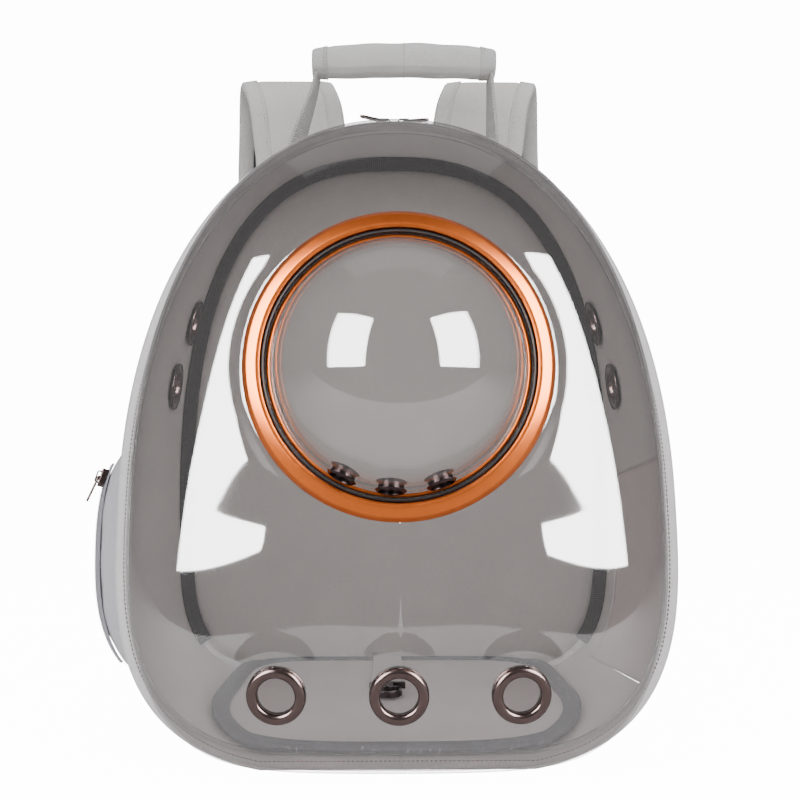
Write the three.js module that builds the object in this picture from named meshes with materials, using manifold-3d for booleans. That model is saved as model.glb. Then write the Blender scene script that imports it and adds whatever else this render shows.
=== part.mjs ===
// Backpack for carrying a small pet, with a clear bulging front and a round bubble window.
// Millimetres. X is to the viewer's right, Y goes back from the clear front, Z is up.
// The origin is the middle of the flat base that the bag stands on.
import * as THREE from 'three';
import { mergeVertices } from 'three/addons/utils/BufferGeometryUtils.js';
import Module from 'manifold-3d';

const wasm = await Module();
wasm.setup();

// Body outline at the clear front's edge and at the back, seen from the front.
// width is the full width, widest the height of that width, upper and lower say how square each half is,
// and cut is what the flat base takes off the round lower end.
const rimShape = { width: 352, height: 420, widest: 160, upper: 2.2, lower: 3.2, cut: 5 };
const backDrop = 2; // how much lower the body's top is at the back
const backShape = { width: 342, height: rimShape.height - backDrop, widest: 130, upper: 2.6, lower: 4, cut: 3 };
const baseDepth = 227; // from the foot of the clear front's edge to the back panel
const rimSetback = 117; // how far the top of that edge lies behind its foot
const rimBend = 1.5; // bend of the edge seen from the side
const clothWall = 3;
const baseWall = 4;
const fit = 0.3; // gap between pieces that touch on the real bag

// Clear front
const shellWall = 1.5;
const shellBulge = 50; // how far it stands out in front of its foot
const bulgePower = { top: 3, side: 2.2, bottom: 4 };
const lowerSwell = 6.5; // how far its lower edge swells out over the binding
const swellHeight = 70;
const swellFade = 0.4; // share of the bulge's depth over which the swelling runs out at its front
const baseBlunt = 34; // how sharply the front's round lower end turns into its flat base

// Edge band of the clear front, then the zip behind it
const bindingThick = 7;
const bindingWidth = 10;
const bindingRound = 2;
const tapeWidth = 12;
const tapeThick = 2;
const tapeInset = 1;
const coilWidth = 3;
const zipEndHeight = 17;

// Back
const backThick = 8;
const seamTapeWidth = 10;
const seamTapeThick = 1.4;
const seamTapeEnd = 26; // height where the dark inner seam tape ends behind the mat

// Floor mat
const matRise = { front: 12.5, back: 21 }; // height of the mat's top at its front and back edge
const matEdgeRound = 5;
const matPower = { front: 3.2, back: 7 }; // how square its front and back corners are
const matSideGap = 2.2;
const matFrontGap = 1; // from the foot of the clear front's edge back to the mat
const matSides = 28;

// Window: copper ring, black gasket, thin inner ring and bubble
const windowHeight = 245;
const ringOuter = 90.3;
const ringInner = 79.4;
const ringRise = 9;
// Heights of the ring's face as shares of its rise, and the width of its inner round.
const ringFace = { edge: 0.3, bevel: 0.72, inner: 0.93, round: 2.4 };
const gasketWidth = 3;
const gasketRise = 5.5;
const bezelWidth = 2.2;
const bezelRise = 1.8;
const domeRise = 72;
const domeWall = 1.8;
const domeRows = 5;
const seatMargin = 3; // flat land of the clear front round the ring
const seatBlend = 24; // where that land has run out into the bulge
const holeSlack = 0.8; // the clear front's hole is this much larger than the bubble's seat needs
const lockWidth = 9;
const lockSlack = 1;
const lockThick = 4;
const ringSides = 30;

// Vents low in the bubble
const ventPolar = 78.5; // degrees from the bubble's axis
const ventSpread = 22.8; // degrees between two of them
const ventShift = -3.8; // the bubble sits turned this far in its ring
const ventOuter = 9.2;
const ventHole = 6.4;
const ventBarrel = 7.4;
const ventLip = 1.6;
const ventSlack = 2; // a vent's inner lip stands this far in, clear of the curved wall
const ventSides = 12;

// Metal eyelets
const eyeletOuter = 17.3;
const eyeletHole = 11;
const eyeletBarrel = 1.3;
const eyeletRise = 2.3;
const eyeletBack = 1.4;
const eyeletSides = 12;
const eyeletLand = 5; // flat land of the clear front round an eyelet
const drillSlack = 8; // a cutting tool is this much longer than the wall that it goes through
const sideSlack = 1.8; // a side eyelet's inner flange stands this much farther in, clear of the curved wall
const shellEyelet = { spacing: 70.5, height: 55.5 };
const sideEyelets = [
  { name: 'upper', height: 284, setback: 72 },
  { name: 'lower', height: 235, setback: 48 },
];

// Mesh panel in the right side and zipped pocket on the left side, as angles round the body and shares of its depth
const meshPanel = { low: -36, high: 10, front: 0.1, back: 0.8, thick: 1.2, bulge: 4 };
const pocket = {
  low: 213, high: 168, front: 0.1, back: 0.84, wall: 2, bulge: 25, gap: 0.8, power: 3, round: 0.6,
};
const pocketSlider = { height: 0.72, rest: 6, lift: 0.1 };
const pocketZip = { across: 0.115, width: 0.07, end: 0.86, thick: 1.2, slack: 0.7 };

// Zip sliders and their pull tabs
const slider = {
  length: 12, width: 9, thick: 3.6, bridgeLength: 8.6, bridgeWidth: 2, bridgeRise: 3, bar: 1.1,
  shoulder: 0.1, nose: 0.68, corner: 1.2, sunk: 0.5,
};
const tab = {
  length: 18, width: 7.4, thick: 1.3, arm: 1.5, slot: 5, holeRadius: 1.7, round: 0.7, holePlace: 1.1,
};
const sliderPlaces = { left: -8, right: 6 };
const tabRest = { left: 12, right: 4 }; // degrees that each tab stands up from lying

// Carry handle
const handle = {
  length: 135, shift: 6.5, y: 46, lift: 41, height: 24, thick: 28, arch: 3, endShare: 0.8, square: 0.8, sides: 10,
};
const handleWeb = { width: 24, thick: 3, inset: 3.5, spread: { left: 17, right: 2 }, settle: { left: 0, right: 0.9 } };
const webBend = { along: 0.35, up: 0.45, spring: 6 }; // where a handle web bends on its way up

// Shoulder straps, webbing and buckles
const strap = {
  width: 74, thick: 9, inner: 29, splay: 25, lean: -4, reach: 51.5, gap: 1, rise: 61, drop: 242, edge: 0.32,
};
// Stations down a strap. out is a share of its reach behind the back panel, up a share of its rise over the
// body's top, down a share of its drop below that, turn the way it lies in degrees, and splay a share of its splay.
const strapStations = [
  { out: 0, down: 0.28, turn: 90, splay: 0 },
  { out: 0, down: 0, turn: 90, splay: 0.15 },
  { out: 0.03, up: 0.62, turn: 76, splay: 0.35 },
  { out: 0.2, up: 0.92, turn: 38, splay: 0.6 },
  { out: 0.48, up: 1, turn: 0, splay: 0.75 },
  { out: 0.75, up: 0.85, turn: -48, splay: 0.85 },
  { out: 0.9, up: 0.41, turn: -80, splay: 0.9 },
  { out: 0.96, down: 0.12, turn: -88, splay: 0.95 },
  { out: 1, down: 0.41, turn: -92, splay: 1 },
  { out: 0.9, down: 0.72, turn: -97, splay: 1 },
  { out: 0.69, down: 1, turn: -103, splay: 1 },
];
const strapWeb = { width: 25, thick: 2, foot: 34, footOut: 112, sag: 0.7 };
const buckle = { width: 34, height: 24, thick: 5, bar: 4, forward: 0.9 };

// Lead with its snap hook, lying on the mat
const lead = { width: 22, thick: 2, x: -6, front: 18, rise: 0.4, wave: 1.3 };
const hook = {
  barWidth: 26, bar: 4, thick: 4.5, body: 8, neck: 9, loop: 10.5, wire: 3.6, mouth: 0.55, gateThick: 2.4,
};

const finishes = {
  cloth: { color: 0xb4b2b2, roughness: 0.85, metalness: 0 },
  edging: { color: 0xc8c6c8, roughness: 0.8, metalness: 0 },
  zipTape: { color: 0xb9b8c0, roughness: 0.75, metalness: 0 },
  darkTape: { color: 0x1b1b1d, roughness: 0.9, metalness: 0 },
  suede: { color: 0x8a8180, roughness: 0.95, metalness: 0 },
  clear: { color: 0xa09c9c, roughness: 0.08, metalness: 0, transparent: true, opacity: 0.35 },
  copper: { color: 0xc06a35, roughness: 0.3, metalness: 0.9 },
  rubber: { color: 0x0c0b0b, roughness: 0.6, metalness: 0 },
  gunmetal: { color: 0x463d3d, roughness: 0.25, metalness: 1 },
  mesh: { color: 0xaea4a2, roughness: 0.9, metalness: 0 },
  plastic: { color: 0x202022, roughness: 0.45, metalness: 0 },
};

const group = new THREE.Group();
const degree = Math.PI / 180;
const backY = baseDepth / 2;
const upAxis = new THREE.Vector3(0, 0, 1);
const latheAxis = new THREE.Vector3(0, 1, 0);
const mix = (a, b, share) => a + (b - a) * share;
const range = (count) => Array.from({ length: count }, (_, i) => i);
const steps = (from, to, count) => range(count + 1).map((i) => mix(from, to, i / count));
const smooth = (value) => {
  const t = Math.min(Math.max(value, 0), 1);
  return t * t * (3 - 2 * t);
};

// Mesh helpers

// A closed mesh from points and triangles, turned so that its faces point out.
function closedMesh(points, triangles) {
  const volume = triangles.reduce((sum, [a, b, c]) => {
    const [p, q, r] = [points[a], points[b], points[c]];
    return sum + p[0] * (q[1] * r[2] - q[2] * r[1]) + p[1] * (q[2] * r[0] - q[0] * r[2])
      + p[2] * (q[0] * r[1] - q[1] * r[0]);
  }, 0);
  const geometry = new THREE.BufferGeometry();
  geometry.setAttribute('position', new THREE.Float32BufferAttribute(points.flat(), 3));
  geometry.setIndex(triangles.flatMap(([a, b, c]) => (volume > 0 ? [a, b, c] : [a, c, b])));
  return geometry;
}

// A solid lofted through rings of points; closed joins the last ring to the first, else fans close the ends.
function loft(rings, closed = false) {
  const count = rings[0].length;
  const points = rings.flat();
  const triangles = [];
  const last = closed ? rings.length : rings.length - 1;
  for (let r = 0; r < last; r += 1) {
    const a = r * count;
    const b = ((r + 1) % rings.length) * count;
    for (let i = 0; i < count; i += 1) {
      const j = (i + 1) % count;
      triangles.push([a + i, b + i, b + j], [a + i, b + j, a + j]);
    }
  }
  if (!closed) {
    for (const [start, turned] of [[0, false], [(rings.length - 1) * count, true]]) {
      const ring = points.slice(start, start + count);
      const centre = [0, 1, 2].map((k) => ring.reduce((sum, p) => sum + p[k], 0) / count);
      const middle = points.push(centre) - 1;
      for (let i = 0; i < count; i += 1) {
        const j = (i + 1) % count;
        triangles.push(turned ? [middle, start + j, start + i] : [middle, start + i, start + j]);
      }
    }
  }
  return closedMesh(points, triangles);
}

// A wall between an outer and an inner grid of points, rows by columns.
function wall(outer, inner, closed = false) {
  const rows = outer.length;
  const columns = outer[0].length;
  const points = [...outer.flat(), ...inner.flat()];
  const offset = rows * columns;
  const triangles = [];
  const quad = (a, b, c, d) => triangles.push([a, b, c], [a, c, d]);
  const lastColumn = closed ? columns : columns - 1;
  for (let r = 0; r < rows - 1; r += 1) {
    for (let c = 0; c < lastColumn; c += 1) {
      const n = (c + 1) % columns;
      const [a, b, d, e] = [r * columns + c, r * columns + n, (r + 1) * columns + n, (r + 1) * columns + c];
      quad(a, b, d, e);
      quad(offset + a, offset + e, offset + d, offset + b);
    }
  }
  for (let c = 0; c < lastColumn; c += 1) {
    const n = (c + 1) % columns;
    const end = (rows - 1) * columns;
    quad(c, offset + c, offset + n, n);
    quad(end + c, end + n, offset + end + n, offset + end + c);
  }
  if (!closed) {
    for (let r = 0; r < rows - 1; r += 1) {
      const [a, b] = [r * columns, (r + 1) * columns];
      const end = columns - 1;
      quad(a, b, offset + b, offset + a);
      quad(a + end, offset + a + end, offset + b + end, b + end);
    }
  }
  return closedMesh(points, triangles);
}

// A solid of revolution about the Y axis from a closed profile of [radius, height].
function turned(profile, segments) {
  const points = [...profile, profile[0]].map(([radius, height]) => new THREE.Vector2(radius, height));
  return welded(new THREE.LatheGeometry(points, segments));
}

function welded(geometry) {
  const bare = geometry.clone();
  bare.deleteAttribute('normal');
  bare.deleteAttribute('uv');
  const merged = mergeVertices(bare, 1e-4);
  const position = merged.getAttribute('position');
  const index = merged.getIndex();
  const points = range(position.count).map((i) => [position.getX(i), position.getY(i), position.getZ(i)]);
  const triangles = range(index.count / 3).map((i) => [0, 1, 2].map((k) => index.getX(3 * i + k)))
    .filter(([a, b, c]) => a !== b && b !== c && a !== c);
  return closedMesh(points, triangles);
}

function solid(geometry) {
  const ready = welded(geometry);
  return new wasm.Manifold(new wasm.Mesh({
    numProp: 3,
    vertProperties: new Float32Array(ready.getAttribute('position').array),
    triVerts: new Uint32Array(ready.getIndex().array),
  }));
}

function meshOf(manifold) {
  const result = manifold.getMesh();
  const geometry = new THREE.BufferGeometry();
  geometry.setAttribute('position', new THREE.Float32BufferAttribute(result.vertProperties, 3));
  geometry.setIndex([...result.triVerts]);
  return geometry;
}

const cut = (geometry, ...tools) => meshOf(tools.reduce((rest, tool) => rest.subtract(solid(tool)), solid(geometry)));
const join = (...geometries) => meshOf(geometries.map(solid).reduce((sum, one) => sum.add(one)));

// Names a finished piece, gives it its finish and adds it to the bag.
function piece(name, geometry, finish, place = null) {
  const shown = geometry.index ? geometry.toNonIndexed() : geometry;
  shown.computeVertexNormals();
  const mesh = new THREE.Mesh(shown, new THREE.MeshStandardMaterial(finishes[finish]));
  mesh.name = name;
  if (place) {
    mesh.position.copy(place.centre);
    mesh.quaternion.copy(place.turn);
  }
  group.add(mesh);
  return mesh;
}

const placed = (geometry, place) => geometry.clone()
  .applyMatrix4(new THREE.Matrix4().compose(place.centre, place.turn, new THREE.Vector3(1, 1, 1)));

// A box with its corners at two given points.
function boxBetween(low, high) {
  const size = low.map((value, k) => high[k] - value);
  return new THREE.BoxGeometry(...size).translate(...low.map((value, k) => value + size[k] / 2));
}

// Body skin

// Point of an outline, inset along its own normal; the outline is a Lame curve cut flat at the base.
function outlinePoint(shape, angle, inset) {
  const [c, s] = [Math.cos(angle), Math.sin(angle)];
  const power = s > 0 ? shape.upper : shape.lower;
  const halfWidth = shape.width / 2;
  const halfHeight = s > 0 ? shape.height - shape.widest : shape.widest + shape.cut;
  const reach = ((Math.abs(c) / halfWidth) ** power + (Math.abs(s) / halfHeight) ** power) ** (-1 / power);
  const nx = Math.sign(c) * (Math.abs(reach * c) / halfWidth) ** (power - 1) / halfWidth;
  const nz = Math.sign(s) * (Math.abs(reach * s) / halfHeight) ** (power - 1) / halfHeight;
  const length = Math.hypot(nx, nz);
  return {
    x: reach * c - inset * nx / length,
    z: Math.max(shape.widest + reach * s - inset * nz / length, inset, 0),
    normal: [nx / length, nz / length],
  };
}

const rimY = (height) => -backY + rimSetback * (height / rimShape.height) ** rimBend;

// Point of the skin that joins both outlines: share runs from the rim to the back, shift adds millimetres to that.
function skinPoint(angle, inset, share, shift = 0) {
  const [rim, back] = [outlinePoint(rimShape, angle, inset), outlinePoint(backShape, angle, inset)];
  const start = rimY(outlinePoint(rimShape, angle, 0).z);
  const y = mix(start, backY, share) + shift;
  const reached = (y - start) / (backY - start);
  return [mix(rim.x, back.x, reached), y, Math.max(mix(rim.z, back.z, reached), 0)];
}

// Half the outline's width at a height.
function halfWidthAt(shape, height) {
  const [power, half] = height > shape.widest
    ? [shape.upper, shape.height - shape.widest] : [shape.lower, shape.widest + shape.cut];
  const drop = Math.min(Math.abs(height - shape.widest) / half, 1);
  return shape.width / 2 * (1 - drop ** power) ** (1 / power);
}

// Angle round the body, on its right, where a measure of the skin point falls to a value.
function angleWhere(measure, value, low, high) {
  let [from, to] = [low, high];
  const rising = measure(high) > measure(low);
  for (let i = 0; i < 40; i += 1) {
    const middle = (from + to) / 2;
    if ((measure(middle) < value) === rising) from = middle;
    else to = middle;
  }
  return (from + to) / 2;
}

const rimAngleAtHeight = (height) => angleWhere(
  (angle) => outlinePoint(rimShape, angle, 0).z, height, -80 * degree, 89 * degree,
);
const shareAtY = (angle, y) => {
  const start = rimY(outlinePoint(rimShape, angle, 0).z);
  return (y - start) / (backY - start);
};

// Seat on the skin at a height and a place in depth: its middle and outward normal, on the right or the left.
function skinSeat(height, y, side) {
  const at = (angle) => skinPoint(angle, 0, shareAtY(angle, y));
  const angle = angleWhere((a) => at(a)[2], height, -50 * degree, 85 * degree);
  const small = 1e-3;
  const across = new THREE.Vector3(...at(angle + small)).sub(new THREE.Vector3(...at(angle - small)));
  const along = new THREE.Vector3(...skinPoint(angle, 0, shareAtY(angle, y + 1)))
    .sub(new THREE.Vector3(...skinPoint(angle, 0, shareAtY(angle, y - 1))));
  const normal = across.cross(along).normalize();
  if (normal.x < 0) normal.negate();
  const centre = new THREE.Vector3(...at(angle));
  if (side < 0) {
    centre.x *= -1;
    normal.x *= -1;
  }
  return { centre, normal, turn: new THREE.Quaternion().setFromUnitVectors(latheAxis, normal) };
}

// Band along the skin with a closed section of [inset, shift], from a start angle to an end angle or all round.
function skinBand(section, angles, share, closed = false) {
  return loft(angles.map((angle) => section.map(([inset, shift]) => skinPoint(angle, inset, share, shift))), closed);
}

const roundAngles = (count) => range(count).map((i) => (i + 0.5) / count * 2 * Math.PI - Math.PI / 2);

// Angles from one to another by way of the facets that all pieces round the body share.
const facets = 40;
function facetAngles(from, to) {
  const step = 2 * Math.PI / facets;
  const first = Math.ceil(from / step - 0.49);
  const last = Math.floor(to / step - 0.51);
  return [from, ...range(last - first + 1).map((i) => (first + i + 0.5) * step), to];
}

// Clear front

// Share of the way from the front's middle to its edge: a Lame curve inside the binding, blunted at the base.
function shellReach(x, rise) {
  const power = rise > 0 ? rimShape.upper : rimShape.lower;
  const halfWidth = rimShape.width / 2 - shellInset;
  const halfHeight = rise > 0 ? rimShape.height - rimShape.widest - shellInset
    : rimShape.widest + rimShape.cut - shellInset;
  const round = ((Math.abs(x) / halfWidth) ** power + (Math.abs(rise) / halfHeight) ** power) ** (1 / power);
  const flat = Math.max(-rise, 0) / (rimShape.widest - shellInset);
  return (round ** baseBlunt + flat ** baseBlunt) ** (1 / baseBlunt);
}

// Bulge of the clear front at a place seen from the front, before its flat seats.
function bulgePoint(x, z) {
  const rise = z - rimShape.widest;
  const reach = Math.min(shellReach(x, rise), 1);
  const lean = reach > 1e-6 ? rise / Math.hypot(x, rise) : 0;
  const end = rise > 0 ? bulgePower.top : bulgePower.bottom;
  const fullness = mix(bulgePower.side, end, lean * lean);
  const depth = (1 - reach ** fullness) ** (1 / fullness);
  const edge = rimY(rimShape.widest + (reach > 1e-6 ? rise / reach : 0));
  return { y: mix(edge, -backY - shellBulge, depth), depth };
}

const shellInset = bindingThick + fit;
const swellStart = (bindingWidth / 2 + shellWall + fit) / shellBulge; // the swelling begins in front of the binding
const windowSeat = (() => {
  const [low, high] = [windowHeight - ringOuter, windowHeight + ringOuter];
  const [yLow, yHigh] = [bulgePoint(0, low).y, bulgePoint(0, high).y];
  const normal = new THREE.Vector3(0, -(high - low), yHigh - yLow).normalize();
  return {
    centre: new THREE.Vector3(0, (yLow + yHigh) / 2, windowHeight),
    normal,
    turn: new THREE.Quaternion().setFromUnitVectors(latheAxis, normal),
    land: ringOuter + seatMargin,
    end: ringOuter + seatMargin + seatBlend,
  };
})();

function shellSeat(x) {
  const { height } = shellEyelet;
  const slope = (bulgePoint(x, height + 1).y - bulgePoint(x, height - 1).y) / 2;
  const turn = (bulgePoint(x + 1, height).y - bulgePoint(x - 1, height).y) / 2;
  const normal = new THREE.Vector3(turn, -1, slope).normalize();
  return {
    centre: new THREE.Vector3(x, bulgePoint(x, height).y, height),
    normal,
    turn: new THREE.Quaternion().setFromUnitVectors(latheAxis, normal),
    land: eyeletOuter + eyeletLand,
    end: shellEyelet.spacing / 2,
  };
}

const eyeletSeats = [-1, 0, 1].map((side) => shellSeat(side * shellEyelet.spacing));

// Point of the clear front's outer face: the bulge, its swollen lower edge and its flat seats.
function shellPoint(x, z) {
  const { y, depth } = bulgePoint(x, z);
  const point = new THREE.Vector3(x, y, z);
  const angle = Math.atan2(z - rimShape.widest, x);
  const { normal } = outlinePoint(rimShape, angle, 0);
  const low = 1 - smooth(outlinePoint(rimShape, angle, 0).z / swellHeight);
  const swell = lowerSwell * low * smooth((depth - swellStart) / swellStart) * smooth((1 - depth) / swellFade);
  point.x += normal[0] * swell;
  point.z += normal[1] * swell;
  for (const seat of [windowSeat, ...eyeletSeats]) {
    const away = point.clone().sub(seat.centre);
    const height = away.dot(seat.normal);
    const radius = Math.sqrt(Math.max(away.lengthSq() - height * height, 0));
    const hold = 1 - smooth((radius - seat.land) / (seat.end - seat.land));
    point.y -= height * hold / seat.normal.y;
  }
  return point;
}

const holeRadius = ringInner - gasketWidth - bezelWidth - fit;
const shellColumns = facets;
const shellShares = [0, 0.34, 0.62, 0.82, 0.93, 0.982, 0.9992, 1];

// Rows of the clear front run from the window's hole over its flat land to the rim.
function shellRows() {
  const angles = roundAngles(shellColumns);
  const rim = angles.map((angle) => {
    const radius = 1 / shellReach(Math.cos(angle), Math.sin(angle));
    return { x: radius * Math.cos(angle), z: rimShape.widest + radius * Math.sin(angle) };
  });
  const tilt = windowSeat.normal.z / -windowSeat.normal.y;
  const ring = (radius) => rim.map((point) => {
    const [dx, dz] = [point.x, point.z - windowHeight];
    const flat = radius / Math.hypot(dx, dz);
    const shorten = 1 / Math.sqrt(1 + (tilt * dz * flat / radius) ** 2);
    return { x: dx * flat * shorten, z: windowHeight + dz * flat * shorten };
  });
  const land = ring(windowSeat.land);
  const rows = [ring(holeRadius + holeSlack), land];
  for (const share of shellShares.slice(1)) {
    rows.push(rim.map((point, i) => ({ x: mix(land[i].x, point.x, share), z: mix(land[i].z, point.z, share) })));
  }
  return rows.map((row) => row.map(({ x, z }) => shellPoint(x, z)));
}

// Normals of a grid that is closed round its columns.
function gridNormals(grid) {
  const columns = grid[0].length;
  return grid.map((row, r) => row.map((point, c) => {
    const round = row[(c + 1) % columns].clone().sub(row[(c + columns - 1) % columns]);
    const out = grid[Math.min(r + 1, grid.length - 1)][c].clone().sub(grid[Math.max(r - 1, 0)][c]);
    return round.cross(out).normalize();
  }));
}

function frontShell() {
  const outer = shellRows();
  const normals = gridNormals(outer);
  const side = Math.sign(normals[0][0].dot(windowSeat.normal));
  const inner = outer.map((row, r) => row.map((point, c) => {
    const moved = point.clone().addScaledVector(normals[r][c], -side * shellWall);
    moved.z = Math.max(moved.z, shellWall);
    return moved;
  }));
  const lists = (grid) => grid.map((row) => row.map((point) => point.toArray()));
  const tools = eyeletSeats.map((seat) => placed(eyeletGeometry(shellWall, fit), seat));
  const barrels = eyeletSeats.map((seat) => placed(barrelTool(shellWall), seat));
  return cut(wall(lists(outer), lists(inner), true), ...tools, ...barrels);
}

// Eyelets

// Eyelet clamped on a wall of the given thickness, its outer flange on the +Y side; grow widens it as a cutter.
function eyeletGeometry(wallThick, grow = 0) {
  const barrel = eyeletHole + eyeletBarrel + grow;
  const outer = eyeletOuter + grow;
  const hole = eyeletHole - grow;
  const [top, bottom] = [fit - grow, -wallThick - fit + grow];
  return turned([
    [hole, bottom - eyeletBack - grow],
    [outer, bottom - eyeletBack - grow],
    [outer, bottom],
    [barrel, bottom],
    [barrel, top],
    [outer, top],
    [mix(hole, outer, 0.6), top + eyeletRise + grow],
    [hole, top + eyeletRise * 0.6 + grow],
  ], eyeletSides);
}

const barrelTool = (wallThick) => new THREE.CylinderGeometry(
  eyeletHole + eyeletBarrel + fit, eyeletHole + eyeletBarrel + fit, wallThick + drillSlack, eyeletSides,
);

function addShellEyelets() {
  eyeletSeats.forEach((seat, i) => piece(`shell_eyelet_${i + 1}`, eyeletGeometry(shellWall), 'gunmetal', seat));
}

// Rim, zip and soft body

const roundedBand = (thick, front, back, round) => [
  [0, front + round],
  [round, front],
  [thick - round, front],
  [thick, front + round],
  [thick, back],
  [0, back],
];

function addRim() {
  const front = roundedBand(bindingThick, -bindingWidth / 2, bindingWidth / 2, bindingRound);
  piece('shell_binding', skinBand(front, roundAngles(facets), 0, true), 'edging');
  const start = bindingWidth / 2 + fit;
  const middle = start + tapeWidth / 2;
  const low = tapeInset + tapeThick;
  const tape = [
    [tapeInset, start],
    [0, middle - coilWidth / 2],
    [0, middle + coilWidth / 2],
    [tapeInset, start + tapeWidth],
    [low, start + tapeWidth],
    [low, start],
  ];
  const end = rimAngleAtHeight(zipEndHeight);
  const gap = fit / rimShape.width;
  piece('zip_tape', skinBand(tape, facetAngles(end + gap, Math.PI - end - gap), 0), 'zipTape');
  const hinge = [
    [tapeInset / 2, start],
    [tapeInset / 2, start + tapeWidth],
    [low, start + tapeWidth],
    [low, start],
  ];
  piece('hinge_cloth', skinBand(hinge, facetAngles(-Math.PI - end + gap, end - gap), 0), 'cloth');
}

const gussetFront = bindingWidth / 2 + fit + tapeWidth + fit;
const gussetBack = -bindingWidth / 2 - fit;
const cornerAngle = Math.atan2(-rimShape.widest, halfWidthAt(rimShape, 0));

// Wall of the body between two angles, from the zip to the back binding.
function bodyWall(angles, thick) {
  const layer = (inset) => [0, 0.5, 1].map((share) => angles.map(
    (angle) => skinPoint(angle, inset, share, mix(gussetFront, gussetBack, share)),
  ));
  return wall(layer(0), layer(thick));
}

// Patch of the skin between angles and shares, from one inset to another, with a bulge where asked.
function skinPatch(area, outset, inset, bulge = () => 0, columns = 8, rows = 6, gap = 0) {
  const angles = steps(area.low * degree, area.high * degree, columns);
  const squeeze = (share, side) => share + side * gap;
  const shares = steps(squeeze(area.front, 1), squeeze(area.back, -1), rows);
  const turn = Math.sign(area.high - area.low) * gap * 1.6;
  angles[0] += turn;
  angles[columns] -= turn;
  const layer = (depth) => shares.map((share, r) => angles.map(
    (angle, c) => skinPoint(angle, depth - bulge(c / columns * 2 - 1, r / rows * 2 - 1), share),
  ));
  return wall(layer(-outset), layer(inset));
}

function addBody() {
  const gap = fit / rimShape.width;
  const sides = bodyWall(facetAngles(cornerAngle + gap, Math.PI - cornerAngle - gap), clothWall);
  const seats = [-1, 1].flatMap((side) => sideEyelets.map((place) => ({
    name: `side_eyelet_${side < 0 ? 'left' : 'right'}_${place.name}`,
    ...skinSeat(place.height, place.setback, side),
  })));
  const tools = seats.map((seat) => placed(barrelTool(clothWall), seat));
  const window = skinPatch(meshPanel, clothWall, clothWall * 2);
  piece('side_gusset', cut(sides, window, ...tools), 'cloth');
  seats.forEach((seat) => piece(seat.name, eyeletGeometry(clothWall + sideSlack), 'gunmetal', seat));
  const swell = (u, v) => meshPanel.bulge * (1 - u * u) * (1 - v * v);
  const inset = (clothWall - meshPanel.thick) / 2;
  const share = fit / (baseDepth * 0.6);
  piece('side_mesh', skinPatch(meshPanel, -inset, inset + meshPanel.thick, swell, 8, 6, share), 'mesh');
  piece('base_panel', bodyWall(facetAngles(-Math.PI - cornerAngle + gap, cornerAngle - gap), baseWall), 'cloth');
}

function addBack() {
  const angles = roundAngles(facets);
  const ring = (shift, inset) => angles.map((angle) => skinPoint(angle, inset, 1, shift));
  const inset = bindingThick + fit;
  const rings = [
    ring(-backThick / 2, inset),
    ring(backThick / 2 - bindingRound, inset),
    ring(backThick / 2, inset + bindingRound),
  ];
  piece('back_panel', loft(rings), 'cloth');
  const section = roundedBand(bindingThick, bindingWidth / 2, -bindingWidth / 2, -bindingRound)
    .map(([depth, shift]) => [Math.abs(depth), shift]);
  section[1][0] = bindingRound;
  section[2][0] = bindingThick - bindingRound;
  piece('back_binding', skinBand(section, angles, 1, true), 'edging');
  const near = clothWall + fit * 2;
  const far = near + seamTapeThick;
  const behind = -bindingWidth / 2 - fit;
  const tape = [
    [near, behind - seamTapeWidth],
    [near, behind],
    [far, behind],
    [far, behind - seamTapeWidth],
  ];
  const shown = angles.filter((angle) => outlinePoint(backShape, angle, 0).z > seamTapeEnd);
  piece('seam_tape', skinBand(tape, shown, 1), 'darkTape');
}

// Height of the mat's top at a place in depth: it slopes gently down to its front edge.
const matFront = -backY + matFrontGap;
const matBack = backY - backThick / 2 - fit;
const matTopAt = (y) => mix(matRise.front, matRise.back, (y - matFront) / (matBack - matFront));

// Mat on the floor: rings of its plan at a few levels, with round front corners and squarer back ones.
function addMat() {
  const margin = clothWall + matSideGap;
  const bottom = bindingThick + fit * 2;
  const levels = [
    { rise: 0, trim: matEdgeRound },
    { rise: 0.35, trim: 0 },
    { rise: 0.6, trim: 0 },
    { rise: 0.9, trim: matEdgeRound * 0.3 },
    { rise: 1, trim: matEdgeRound },
  ];
  const [middle, half] = [(matFront + matBack) / 2, (matBack - matFront) / 2];
  const rings = levels.map(({ rise, trim }) => roundAngles(matSides).map((angle) => {
    const [c, s] = [Math.cos(angle), Math.sin(angle)];
    const power = 2 / (s < 0 ? matPower.front : matPower.back);
    const across = Math.sign(c) * Math.abs(c) ** power;
    const y = middle + Math.sign(s) * Math.abs(s) ** power * (half - trim);
    const share = Math.max((y + backY) / baseDepth, 0);
    const low = bottom - margin;
    const width = mix(halfWidthAt(rimShape, low), halfWidthAt(backShape, low), share) - margin;
    return [across * (width - trim), y, mix(bottom, matTopAt(y), rise)];
  }));
  piece('floor_mat', loft(rings), 'suede');
}

// Window

const domeBase = holeRadius - fit;
const domeRadius = (domeBase ** 2 + domeRise ** 2) / (2 * domeRise);
// The bubble turns in its ring, so its flats clear the ring's flats by what a polygon's corners stand out.
const turnGap = fit / 2 + ringInner * (1 - Math.cos(Math.PI / ringSides));
const domeFlange = ringInner - turnGap;

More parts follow.
